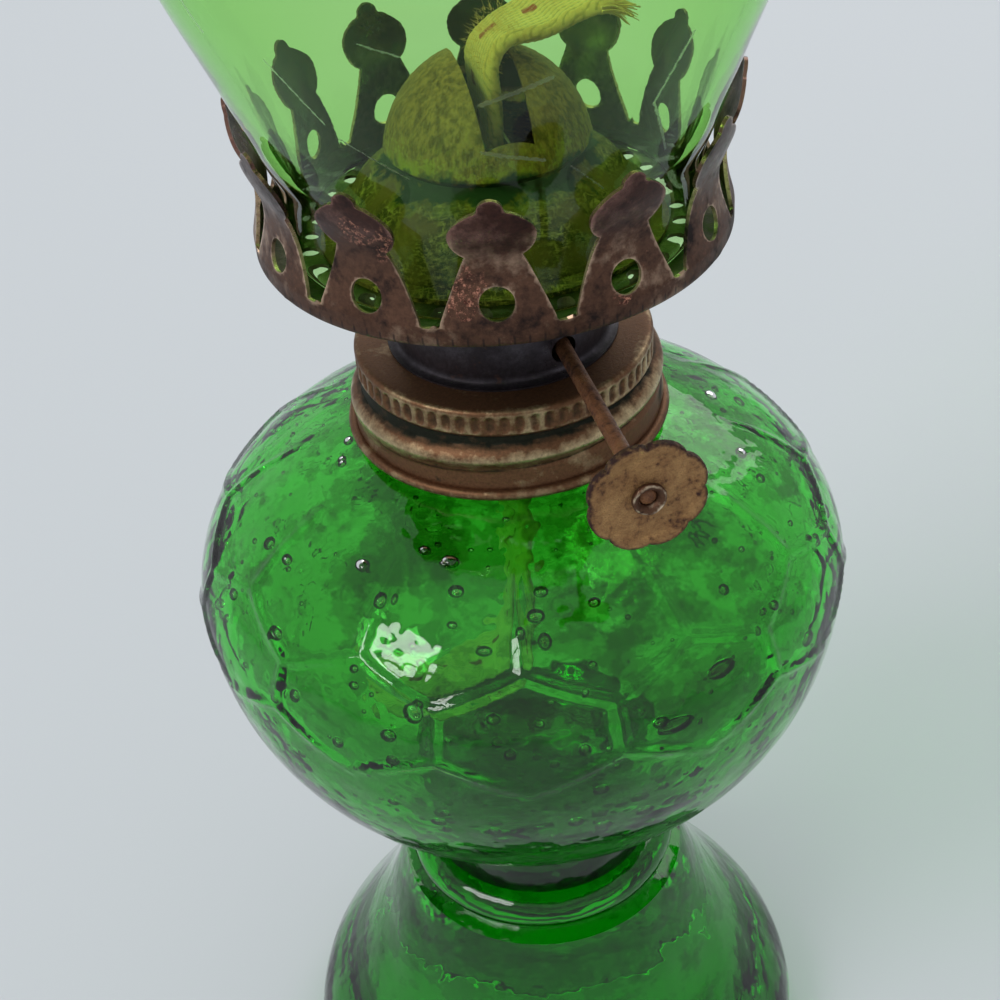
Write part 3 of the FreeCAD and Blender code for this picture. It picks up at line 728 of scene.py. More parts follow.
def aged_metal_group():
    """Old sheet metal: bright where rubbed, tarnished elsewhere, stained in blots and finely speckled."""
    group, given, put = new_group(
        "aged_metal",
        {"Bright": (0.4, 0.3, 0.15), "Tarnish": (0.1, 0.06, 0.03), "Stain": (0.02, 0.015, 0.01),
         "Scale": 300.0, "Tarnish Level": 0.5, "Stain Level": 0.3, "Wear": 0.0, "Darkening": 0.0},
        {"Color": "Color", "Roughness": "Float", "Height": "Float"})
    place = own_place(group)
    broad = noise(place, given["Scale"], 6)
    blot = noise(place, given["Scale"] * 3.7, 8, 0.65)
    grit = noise(place, given["Scale"] * 17.0, 3, 0.7)
    cover = broad.spread(0.35, 0.65, -0.5, 0.5) + given["Tarnish Level"] + blot.patchy(-0.35, 0.35)
    cover = (cover - given["Wear"]).spread(0.0, 1.0)
    edge = 0.86 - given["Stain Level"] * 0.5
    # A piece's darkening, grime and painted shade alike, joins the blots of stain.
    darkened = given["Darkening"] + blot.patchy(-0.25, 0.25)
    stained = (blot * 0.6 + broad * 0.4).spread(edge - 0.12, edge).larger(darkened.spread(0.15, 0.75))
    coat = mixed(stained, mixed(cover, given["Bright"], given["Tarnish"]), given["Stain"])
    speck = grit.patchy(0.72, 1.28)
    shade = add_node(group, "CombineColor", (speck, speck, speck))
    feed(put["Color"], mixed(1.0, coat, shade, "MULTIPLY"))
    rough = cover.spread(0, 1, 0.30, 0.50) + stained.spread(0, 1, 0, 0.18)
    feed(put["Roughness"], rough + grit.patchy(-0.06, 0.06))
    feed(put["Height"], grit * 0.4 + blot * 0.6)
    return group


def metal_material(name, metallic, bump, attributes=(), **values):
    """A material of aged metal, with its wear and darkening read from the piece where it has them."""
    material, tree, shader = new_material(name, Metallic=metallic)
    for attribute in attributes:
        values[attribute.title()] = attribute_value(tree, attribute)
    surface = place_group(tree, aged_metal, **values)
    feed(shader.inputs["Normal"], add_node(tree, "Bump", {"Distance": bump, "Height": surface["Height"]}))
    paint(tree, surface["Color"], surface["Roughness"])
    return material, surface


cap = turned_piece("threaded_cap", cap_profile(), flute_count * flute_columns)
shape_cap(cap)
smooth(cap, 40)
aged_metal = aged_metal_group()
cap_brass, _ = metal_material(
    "tarnished_cap_brass", 0.85, 0.00008, ("wear", "darkening"), Bright=(0.50, 0.39, 0.22),
    Tarnish=(0.155, 0.076, 0.037), Stain=(0.020, 0.022, 0.014), Scale=160.0, Tarnish_Level=1.3, Stain_Level=0.30)
finish(cap, cap_brass, "burner", "cap_brass", "screw_cap")

# Burner pieces kept as they come from the press: drum, washer, fuel plate, tubes, bracket, collar and
# ratchet wheels. All are thin sheet, soldered or clinched, and stained by oil and heat.
# The drum's sheet is coloured nearly black: dark patina, and painted reflection of the dark surroundings its
# upright wall faces.
dark_drum_steel, _ = metal_material(
    "dark_drum_sheet", 0.7, 0.00006, Bright=(0.060, 0.052, 0.062), Tarnish=(0.024, 0.019, 0.023),
    Stain=(0.10, 0.045, 0.025), Scale=140.0, Tarnish_Level=0.6, Stain_Level=0.28)
burner_steel, _ = metal_material(
    "oiled_burner_sheet", 0.8, 0.00006, Bright=(0.42, 0.38, 0.28), Tarnish=(0.16, 0.12, 0.07),
    Stain=(0.05, 0.03, 0.02), Scale=180.0, Tarnish_Level=0.6, Stain_Level=0.3)
floor_brass, _ = metal_material(
    "perforated_floor_brass", 0.7, 0.00008, Bright=(0.10, 0.08, 0.035), Tarnish=(0.035, 0.028, 0.014),
    Stain=(0.06, 0.06, 0.018), Scale=220.0, Tarnish_Level=0.7, Stain_Level=0.4)
washer_cork, _ = metal_material(
    "washer_cork", 0.0, 0.00015, Bright=(0.30, 0.19, 0.10), Tarnish=(0.16, 0.09, 0.045),
    Stain=(0.03, 0.02, 0.012), Scale=400.0, Tarnish_Level=0.5, Stain_Level=0.35)
pressed_pieces = {"burner_drum": dark_drum_steel, "air_plate": floor_brass, "cap_gasket": washer_cork}
for node in ("fuel_plate", "wick_tube", "vent_tube", "spindle_bracket", "spindle_collar",
             "ratchet_wheel_front", "ratchet_wheel_rear"):
    pressed_pieces[node] = burner_steel
for node, material in pressed_pieces.items():
    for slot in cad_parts[node].material_slots:
        slot.material = material

# Gallery crown: brass strip cut into twelve prongs with a round hole in each, bent round into a ring and
# folded in at its foot over the perforated floor. The prongs spring inwards and hold the chimney.
crown_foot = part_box("gallery_crown")[0].z
crown_azimuth = math.radians(-1.5)
crown_radius = 0.0258
crown_sheet = 0.0004
crown_fold_radius = 0.0006
crown_flange = 0.0026
prong_count = 12
prong_height = 0.0164
prong_notch = 0.0022
prong_base_half = 0.0056
prong_foot_round = 0.0006
prong_waist_half = 0.00275
prong_waist_height = 0.0097
prong_lobe_half = 0.0042
prong_lobe_height = 0.0123
prong_shoulder_half = 0.0019
prong_shoulder_height = 0.0149
prong_tip_half = 0.0012
prong_hole_radius = 0.00175
prong_hole_height = 0.0046
prong_lean = 0.00025
prong_twist = 0.00012
crown_profile = ((prong_notch, 0.0258), (prong_waist_height, 0.0252), (prong_lobe_height, 0.0262),
                 (0.0174, 0.0273))
crown_rows = 36
crown_columns = 26
crown_ticks = 108
# Patches rubbed to copper: turn in degrees, height above the crown's foot, and reach.
crown_rubs = ((-8.5, 0.0052, 0.0032), (-11, 0.0075, 0.0026), (-24, 0.0105, 0.0028), (-31, 0.0120, 0.0024),
              (27, 0.0030, 0.0016), (100, 0.0060, 0.0030), (170, 0.0100, 0.0030))


def prong_side():
    """Right side of a prong with half of the notch beside it, from the crown's fold up to the tip."""
    edge = crown_radius * math.sin(math.pi / prong_count)
    lobe_low = (prong_lobe_half, prong_waist_height + (prong_lobe_height - prong_waist_height) / 3)
    lobe_high = (prong_lobe_half, (prong_lobe_height + prong_shoulder_height) / 2)
    tip = (prong_tip_half, (prong_shoulder_height + prong_height) / 2)
    points = trace(
        [(edge, -crown_flange), (edge, prong_notch), (prong_base_half + prong_foot_round, prong_notch)],
        (bow, (prong_base_half, prong_notch), (prong_base_half, prong_notch + prong_foot_round), 4),
        (straight, (prong_waist_half, prong_waist_height), 1),
        (bow, lobe_low, (prong_lobe_half, prong_lobe_height), 8),
        (bow, lobe_high, (prong_shoulder_half, prong_shoulder_height), 8),
        (bow, (prong_tip_half, prong_shoulder_height), tip, 5))
    return points + arc_through(tip, (0, prong_height), (-tip[0], tip[1]), 8)[:4]


def flat_prong():
    """One prong cut flat in its strip and bisected into a fine grid, so that it can be rolled."""
    side = prong_side()
    edge = side[0][0]
    loop = side + [(-x, z) for x, z in reversed(side[:-1])]
    piece = draw_line("gallery_crown_brass", loop + loop[:1])
    bpy.ops.mesh.primitive_circle_add(vertices=28, radius=prong_hole_radius, location=(0, 0, prong_hole_height),
                                      rotation=(math.pi / 2, 0, 0))
    bpy.ops.mesh.select_all(action="SELECT")
    bpy.ops.mesh.fill(use_beauty=False)
    span = prong_height + crown_flange
    cuts = [((0, 0, span * i / crown_rows - crown_flange), (0, 0, 1)) for i in range(1, crown_rows)]
    cuts += [((edge * (2 * i / crown_columns - 1), 0, 0), (1, 0, 0)) for i in range(1, crown_columns)]
    for spot, facing in cuts:
        bpy.ops.mesh.select_all(action="SELECT")
        bpy.ops.mesh.bisect(plane_co=spot, plane_no=facing)
    leave_edit(2e-6)
    return piece


def roll_prong(piece, turn, lean, twist):
    """Rolls a flat prong to the ring's profile at its place, a little bent as years of chimneys left it."""
    co = places(piece)
    heights, radii = np.array(trace(crown_profile[:1], (smooth_line, crown_profile[1:], 60))).T
    rolled = np.where(co[:, 2] < prong_notch, crown_radius, np.interp(co[:, 2], heights, radii))
    angle = np.arcsin(np.clip(co[:, 0] / rolled, -1, 1))
    bent = np.clip((crown_fold_radius - co[:, 2]) / crown_fold_radius, 0, math.pi / 2)
    inward = crown_fold_radius * (1 - np.cos(bent))
    inward += np.clip(crown_fold_radius * (1 - math.pi / 2) - co[:, 2], 0, 1)
    folded = crown_fold_radius - crown_fold_radius * np.sin(bent)
    height = np.where(co[:, 2] > crown_fold_radius, co[:, 2], folded)
    above = np.clip((co[:, 2] - prong_notch) / (prong_height - prong_notch), 0, 1)
    radius = rolled - inward + (lean + twist * co[:, 0] / prong_lobe_half) * above ** 2
    around = angle + turn
    move_to(piece, np.stack([radius * np.sin(around), -radius * np.cos(around), height + crown_foot], 1))


def edge_wear(piece, reach):
    """How near each vertex is to a cut edge: 1 on the edge, falling to 0 within reach."""
    mesh = piece.data
    edge_faces = np.zeros(len(mesh.edges), int)
    loops = np.empty(len(mesh.loops), int)
    mesh.loops.foreach_get("edge_index", loops)
    np.add.at(edge_faces, loops, 1)
    ends = np.empty(len(mesh.edges) * 2, int)
    mesh.edges.foreach_get("vertices", ends)
    rim = np.unique(ends.reshape(-1, 2)[edge_faces == 1])
    co = places(piece)
    nearest = np.full(len(co), reach)
    for start in range(0, len(co), 2000):
        gaps = np.linalg.norm(co[start:start + 2000, None] - co[rim][None], axis=2).min(1)
        nearest[start:start + 2000] = np.minimum(gaps, reach)
    return 1 - nearest / reach


def crown_material():
    """Purple-brown brass: darker at the tips, browner on the band, rubbed coppery in speckled patches, with dark
    lines painted as the shade of the band's embossed ticks.
    """
    material, surface = metal_material(
        "aged_crown_brass", 0.75, 0.00003, ("wear",), Bright=(0.52, 0.36, 0.25), Tarnish=(0.108, 0.052, 0.032),
        Stain=(0.020, 0.011, 0.010), Scale=110.0, Tarnish_Level=1.1, Stain_Level=0.45)
    tree = material.node_tree
    place = own_place(tree)
    x, y, z = axes(place)
    height = z + noise(place, 260, 4).patchy(-0.002, 0.002)
    tip_dark = height.spread(crown_foot + 0.007, crown_foot + 0.012)
    band = height.spread(crown_foot + 0.0030, crown_foot + 0.0016)
    colour = mixed(tip_dark, surface["Color"], (0.40, 0.29, 0.33), "MULTIPLY")
    colour = mixed(band * 0.5, colour, (0.55, 0.50, 0.45), "MULTIPLY")
    rubbed = 0.0
    for turn, up, reach in crown_rubs:
        turn = math.radians(turn)
        centre = (crown_radius * math.sin(turn), -crown_radius * math.cos(turn), crown_foot + up)
        rubbed = between(place, centre, "DISTANCE", "Value").spread(reach, reach / 2).larger(rubbed)
    rubbed = (rubbed + noise(place, 500, 3).patchy(-0.5, 0.5)).spread(0.4, 0.8)
    specks = noise(place, 1500, 5, 0.8).spread(0.48, 0.58)
    copper = mixed(noise(place, 2600, 4, 0.8).spread(0.45, 0.60), (0.075, 0.022, 0.015), (0.66, 0.30, 0.20))
    colour = mixed(rubbed * specks, colour, copper)
    # Painted shade: thin dark lines round the foot of the band stand for the shade in its embossed ticks.
    tick = (x.maths("ARCTAN2", y) * (crown_ticks / math.tau)).maths("FRACT")
    tick = (tick - 0.5).maths("ABSOLUTE").spread(0.10, 0.05) * z.spread(crown_foot + 0.0014, crown_foot + 0.0010)
    colour = mixed(tick * 0.7, colour, (0.018, 0.011, 0.010))
    paint(tree, colour, surface["Roughness"] - tip_dark * 0.14)
    return material


# What no two prongs have alike: how far each leans in and how far it is twisted.
lean_draw, twist_draw = random.Random(3), random.Random(5)
crown_leans = [min(lean_draw.uniform(-prong_lean, prong_lean), 0) for _ in range(prong_count)]
crown_twists = [twist_draw.uniform(-prong_twist, prong_twist) for _ in range(prong_count)]
prongs = [flat_prong()]
for _ in range(1, prong_count):
    copy = prongs[0].copy()
    copy.data = prongs[0].data.copy()
    bpy.context.scene.collection.objects.link(copy)
    prongs.append(copy)
for i, prong in enumerate(prongs):
    roll_prong(prong, crown_azimuth + math.tau * i / prong_count, crown_leans[i], crown_twists[i])
pick(*prongs)
bpy.ops.object.join()
crown = bpy.context.object
bpy.ops.object.mode_set(mode="EDIT")
leave_edit(1e-5)
set_attribute(crown, "wear", edge_wear(crown, 0.0003) ** 2)
normals = np.empty(len(crown.data.vertices) * 3)
crown.data.vertices.foreach_get("normal", normals)
outward = (normals.reshape(-1, 3)[:, :2] * places(crown)[:, :2]).sum() > 0
apply_modifier(crown, "SOLIDIFY", thickness=crown_sheet, offset=-1 if outward else 1)
smooth(crown, 35)
finish(crown, crown_material(), "burner", "crown_brass", "gallery_crown")

# Flame deflector: a brass stamping with a slotted dome over the wick, a groove below it and a skirt that
# spreads to a flat rim on the perforated floor. Heat has streaked the dome and oil has turned the rest green;
# the dark green of the groove's wall and the near black inside the dome are painted shade.
plate_top = chimney_foot
deflector_sheet = 0.0005
deflector_dome = 0.0112
deflector_dome_height = 0.01905
deflector_centre = plate_top + deflector_dome_height - deflector_dome
deflector_edge_angle = math.radians(10)
deflector_groove = (0.0104, plate_top + 0.009)
deflector_ledge = (0.0118, plate_top + 0.0072)
deflector_flange = 0.0186
deflector_rim_round = 0.0008
deflector_skirt_shares = ((0.78, 0.72), (0.852, 0.375), (0.895, 0.14))
deflector_steps = 192
slot_azimuth = math.radians(12)
slot_half = 0.0028
slot_end_half = 0.00255
slot_end_reach = 0.0098
slot_floor_height = 0.0119


def deflector_profile():
    (groove, groove_height), (ledge, ledge_height) = deflector_groove, deflector_ledge
    skirt = [(deflector_flange * across, plate_top + (ledge_height - plate_top) * up)
             for across, up in deflector_skirt_shares]
    lining = [(across - deflector_sheet, up) for across, up in reversed(skirt)]
    rim, rim_top = skirt[-1][0], plate_top + deflector_sheet

    def dome(radius, low, high, parts):
        angles = [low + (high - low) * i / parts for i in range(parts + 1)]
        return [(radius * math.cos(a), deflector_centre + radius * math.sin(a)) for a in angles]

    top = math.pi / 2
    outer = dome(deflector_dome, top, deflector_edge_angle, 26)[1:]
    points = trace(
        [(0, deflector_centre + deflector_dome)] + outer,
        (bow, (outer[-1][0] - 0.0001, groove_height + 0.0006), deflector_groove, 6),
        (bow, (groove + 0.0001, ledge_height + 0.0006), deflector_ledge, 6),
        (smooth_line, skirt, 18),
        (bow, (rim, rim_top), (rim + deflector_rim_round, rim_top), 3),
        (straight, (deflector_flange, rim_top), 3))
    points += [(deflector_flange, plate_top), (rim - deflector_sheet, plate_top)]
    points += smooth_line(lining[0], lining[1:] + [(ledge - deflector_sheet, ledge_height)], 14)
    points.append((groove - deflector_sheet, groove_height))
    points += dome(deflector_dome - deflector_sheet, deflector_edge_angle, top, 20)[:-1]
    return points + [(0, deflector_centre + deflector_dome - deflector_sheet)]


def slot_cutter():
    """The bowed prism that opens the dome over the wick, front to rear, drawn upright and then laid flat."""
    right = trace([(slot_end_half, -slot_end_reach)],
                  (arc_through, (slot_half, 0), (slot_end_half, slot_end_reach), 16))
    loop = right + [(-x, y) for x, y in reversed(right)]
    piece = draw_line("slot_cutter", loop + loop[:1])
    bpy.ops.mesh.edge_face_add()
    bpy.ops.mesh.extrude_region_move(TRANSFORM_OT_translate={"value": (0, deflector_dome_height, 0)})
    bpy.ops.object.mode_set(mode="OBJECT")
    x, up, y = places(piece).T
    sin_a, cos_a = math.sin(slot_azimuth), math.cos(slot_azimuth)
    height = up + plate_top + slot_floor_height
    move_to(piece, np.stack([x * cos_a - y * sin_a, x * sin_a + y * cos_a, height], 1))
    pick(piece)
    bpy.ops.object.mode_set(mode="EDIT")
    leave_edit()
    return piece


def deflector_material():
    """Olive-brown brass with upright streaks on the dome, a dark green band painted in the groove as its shade, a
    mossy skirt, and the dome's inside painted nearly black as shade.
    """
    material, surface = metal_material(
        "heat_streaked_brass", 0.2, 0.0001, Bright=(0.21, 0.090, 0.020), Tarnish=(0.105, 0.042, 0.011),
        Stain=(0.028, 0.018, 0.008), Scale=150.0, Tarnish_Level=0.6, Stain_Level=0.3)
    tree = material.node_tree
    place = own_place(tree)
    z = axes(place)[2]
    height = z + noise(place, 300, 5).patchy(-0.0012, 0.0012)

    def rises(low, high, up=height):
        return up.spread(plate_top + low, plate_top + high)

    streak = noise(place, 1600, 5, 0.7, (1, 1, 0.10)).spread(0.42, 0.60)
    colour = mixed(streak, surface["Color"], (0.35, 0.165, 0.045))
    low_dome = rises(0.0145, 0.011) * noise(place, 1700, 5, 0.75).spread(0.50, 0.56)
    colour = mixed(low_dome * 0.75, colour, (0.42, 0.27, 0.045))
    rust = noise(place, 500, 6, 0.7).spread(0.35, 0.5) * noise(place, 170, 2).spread(0.48, 0.60)
    colour = mixed(rises(0.0118, 0.0102) * rust, colour, (0.36, 0.27, 0.02))
    # Painted shade: the groove's upright wall, between the ledge and the skirt, is painted dark green.
    colour = mixed(rises(0.0102, 0.0094) * rises(0.0068, 0.0076), colour, (0.014, 0.026, 0.018))
    fibres = noise(place, 2200, 5, 0.7, (1, 0.22, 1)).larger(noise(place, 2200, 5, 0.7, (0.22, 1, 1)))
    moss = mixed(fibres.spread(0.50, 0.66), (0.060, 0.027, 0.009), (0.42, 0.25, 0.08))
    moss = mixed(noise(place, 200, 3).spread(0.45, 0.60), moss, (0.17, 0.075, 0.026))
    colour = mixed(rises(0.0078, 0.0066), colour, moss)
    # Painted shade: the inside of the dome, seen through its slot, is painted nearly black.
    away = between(place, (0, 0, deflector_centre), "DISTANCE", "Value")
    lining = away.spread(deflector_dome - deflector_sheet * 0.6, deflector_dome - deflector_sheet * 0.9)
    colour = mixed(lining * rises(0.0095, 0.0105, z), colour, (0.012, 0.009, 0.006))
    paint(tree, colour, surface["Roughness"] + height.spread(plate_top + 0.009, plate_top + 0.0075, 0.25, 0.4))
    return material


deflector = turned_piece("flame_deflector_brass", deflector_profile(), deflector_steps)
cutter = slot_cutter()
apply_modifier(deflector, "BOOLEAN", object=cutter, operation="DIFFERENCE", solver="EXACT")
bpy.data.objects.remove(cutter)
smooth(deflector, 35)
finish(deflector, deflector_material(), "burner", "deflector_brass", "flame_deflector")

# Spindle, knob and eyelet: a rust-brown steel rod runs from the drum to a stamped flower-shaped brass
# knob, held by an eyelet crimped over the rod's end. The knob's face is pitted and otherwise plain.
spindle_offset = 0.0040
spindle_height = cap_top + 0.0029
spindle_radius = 0.0009
spindle_rear = 0.0056
spindle_steps = 24
spindle_rust_depth = 0.000012
knob_reach = 0.0390
knob_radius = 0.0062
knob_valley = 0.0057
knob_lobes = 8
knob_steps = 128
knob_sheet = 0.0007
knob_round = 0.0002
knob_rim_width = 0.0009
knob_rim_height = 0.0002
knob_rim_slope = 0.0006
knob_dent = 0.00005
eyelet_wall = 0.00035
eyelet_flange = 0.00175
eyelet_thickness = 0.0004
eyelet_lip = 0.0003
eyelet_gap = 0.00002
eyelet_steps = 72
eyelet_split_depth = 0.00012
eyelet_dent_share = 0.03


def along_spindle(piece):
    """Turns a piece made round the upright axis so that up becomes forward along the spindle."""
    place = Matrix.Rotation(slot_azimuth, 4, "Z") @ Matrix.Translation((spindle_offset, 0, spindle_height))
    piece.data.transform(place @ Matrix.Rotation(math.pi / 2, 4, "X"))
    piece.data.update()


def knob_profile():
    back, face = knob_reach - knob_sheet, knob_reach
    rim = face + knob_rim_height
    inner = knob_radius - knob_rim_width
    hole = spindle_radius + eyelet_wall
    return trace(
        [(hole, back)],
        (straight, (knob_radius - knob_round, back), 6),
        (bow, (knob_radius, back), (knob_radius, back + knob_round), 3),
        (straight, (knob_radius, rim - knob_round), 3),
        (bow, (knob_radius, rim), (knob_radius - knob_round, rim), 3),
        (bow, (inner, rim), (inner - knob_rim_slope, face), 7),
        (straight, (hole, face), 14))


def shape_knob(piece):
    """Draws the round disc in to its outline of eight flat lobes and dents its face a little."""
    co = places(piece)
    radius = np.hypot(co[:, 0], co[:, 1])
    angle = np.arctan2(co[:, 1], co[:, 0])
    phase = (angle * knob_lobes / math.tau) % 1
    lobe = (1 - (2 * phase - 1) ** 2) ** 0.75
    pull = np.clip((radius / knob_radius - 0.55) / 0.45, 0, 1) ** 1.5
    pull = np.where(radius > knob_radius - knob_rim_width / 2, 1, pull)
    moved = radius - (knob_radius - knob_valley) * (1 - lobe) * pull
    co[:, :2] *= (moved / radius)[:, None]
    co[:, 2] += knob_dent * np.sin(angle * 2 + 1) * np.sin(radius / knob_radius * math.pi)
    move_to(piece, co)
    # The side of the rim is darkened.
    set_attribute(piece, "darkening", np.clip((radius - knob_radius + 0.0005) / 0.0004, 0, 1) * 0.7)


def eyelet_profile():
    back, face = knob_reach - knob_sheet, knob_reach
    under, top = back - eyelet_thickness, face + eyelet_thickness + eyelet_lip
    outer, inner = spindle_radius + eyelet_wall, spindle_radius + eyelet_gap
    points = trace(
        [(inner, under)],
        (straight, (eyelet_flange - 0.0001, under), 2),
        (bow, (eyelet_flange, under), (eyelet_flange, back), 3))
    return trace(
        points + [(outer, back), (outer, face), (eyelet_flange - 0.0001, face)],
        (bow, (eyelet_flange, face), (eyelet_flange, top - eyelet_lip), 3),
        (bow, (eyelet_flange, top), (eyelet_flange - eyelet_lip, top), 5),
        (bow, (outer, top - 0.0001), (inner, face + 0.0001), 8))


def shape_eyelet(piece):
    """Splits and dents the crimped lip, and notes where it is rubbed bright."""
    co = places(piece)
    angle = np.arctan2(co[:, 1], co[:, 0])
    lip = np.clip((co[:, 2] - knob_reach - eyelet_thickness) / eyelet_lip, 0, 1)
    ripple = 0.5 + 0.5 * np.sin(angle * 5 + 0.7 * np.sin(angle * 2))
    co[:, 2] -= lip * eyelet_split_depth * ripple
    co[:, :2] *= (1 - lip * eyelet_dent_share * np.sin(angle * 3 + 2))[:, None]
    move_to(piece, co)
    crest = np.exp(-((np.hypot(co[:, 0], co[:, 1]) - eyelet_flange + eyelet_lip / 2) / 0.00016) ** 2)
    set_attribute(piece, "wear", lip * crest * (0.3 + 0.7 * ripple))


knob = turned_piece("wick_knob", knob_profile(), knob_steps)
shape_knob(knob)
along_spindle(knob)
smooth(knob, 40)
knob_brass, _ = metal_material(
    "pitted_knob_brass", 0.75, 0.00030, ("darkening",), Bright=(0.44, 0.25, 0.10), Tarnish=(0.26, 0.13, 0.053),
    Stain=(0.050, 0.022, 0.020), Scale=480.0, Tarnish_Level=0.5, Stain_Level=0.38)
finish(knob, knob_brass, "knob_spindle", "knob_brass", "knob")

eyelet = turned_piece("crimped_eyelet", eyelet_profile(), eyelet_steps)
shape_eyelet(eyelet)
along_spindle(eyelet)
smooth(eyelet, 50)
eyelet_steel, _ = metal_material(
    "crimped_eyelet_steel", 0.85, 0.00006, ("wear",), Bright=(0.74, 0.60, 0.42), Tarnish=(0.11, 0.055, 0.032),
    Stain=(0.03, 0.017, 0.012), Scale=400.0, Tarnish_Level=1.1, Stain_Level=0.35)
finish(eyelet, eyelet_steel, "knob_spindle", "eyelet_steel", "knob_eyelet")

rod_end = knob_reach + eyelet_thickness / 2
rod = turned_piece("rusty_spindle", trace(
    [(0, -spindle_rear)],
    (straight, (spindle_radius, -spindle_rear), 2),
    (straight, (spindle_radius, rod_end - 0.0004), 120),
    (bow, (spindle_radius, rod_end), (0, rod_end), 6)), spindle_steps)
rod_places = places(rod)
rust = np.random.default_rng(11).normal(0, spindle_rust_depth, len(rod_places))
rod_places[:, :2] *= (1 + rust / spindle_radius)[:, None]
move_to(rod, rod_places)
along_spindle(rod)
smooth(rod, 50)
rust_steel, _ = metal_material(
    "rusted_spindle_steel", 0.35, 0.0003, Bright=(0.27, 0.115, 0.045), Tarnish=(0.125, 0.045, 0.020),
    Stain=(0.035, 0.016, 0.012), Scale=420.0, Tarnish_Level=0.55, Stain_Level=0.42)
finish(rod, rust_steel, "knob_spindle", "spindle_steel", "spindle")

# Wick: a flat strip woven of yellowed cotton, with a red tracer thread stitched along it. Its tail lies in
# the font, it comes up through the tube, and its frayed free end has fallen over to the right.
wick_width = 0.0090
wick_thickness = 0.0018
wick_flop_radius = 0.0040
wick_flop_rise = math.radians(8)
wick_flop_run = 0.0100
wick_flop_height = cap_top + 0.0315
wick_tail_height = 0.0855
wick_tail_radius = 0.012
wick_tail_run = 0.009
wick_fine_run = 0.028
wick_fine_step = 0.00018
wick_coarse_step = 0.0010
wick_columns = 128
wick_free_run = 0.026
wick_free_fade = 0.012
wick_frayed_run = 0.006
yarn_pitch = 0.00072
weft_pitch = 0.0019
yarn_height = 0.00012
tracer_offset = 0.0004
tracer_half_width = 0.00065
tracer_stitch = 0.0044
fray_count = 110
fuzz_count = 520
fuzz_radius = 0.000028


def wick_line():
    """Centre line from the tail's end to the free end, as (x, z) rows, and its run."""
    tail, flop = wick_tail_radius, wick_flop_radius
    rows = trace([(-tail - wick_tail_run, wick_tail_height - tail)],
                 (straight, (-tail, wick_tail_height - tail), 18))
    rows += [(-tail + tail * math.sin(a), wick_tail_height - tail * math.cos(a))
             for a in np.linspace(0, math.pi / 2, 24)[1:]]
    rows += straight(rows[-1], (0, wick_flop_height), 150)
    rows += [(flop - flop * math.cos(a), wick_flop_height + flop * math.sin(a))
             for a in np.linspace(0, math.pi / 2 - wick_flop_rise, 60)[1:]]
    end = (rows[-1][0] + wick_flop_run * math.cos(wick_flop_rise),
           rows[-1][1] + wick_flop_run * math.sin(wick_flop_rise))
    rows = np.array(rows + straight(rows[-1], end, 30))
    return rows, np.concatenate([[0], np.cumsum(np.hypot(*np.diff(rows, axis=0).T))])


def section_point(share):
    """Point of the strip's rounded section at a share of the way round: (through, across)."""
    corner = wick_thickness / 2
    flat = wick_width - 2 * corner
    side, s = divmod(share * 2, 1)
    s *= flat + math.pi * corner
    face = 1 if side == 0 else -1
    if s < flat:
        return face * corner, face * (s - flat / 2)
    a = (s - flat) / corner
    return face * corner * math.cos(a), face * (flat / 2 + corner * math.sin(a))


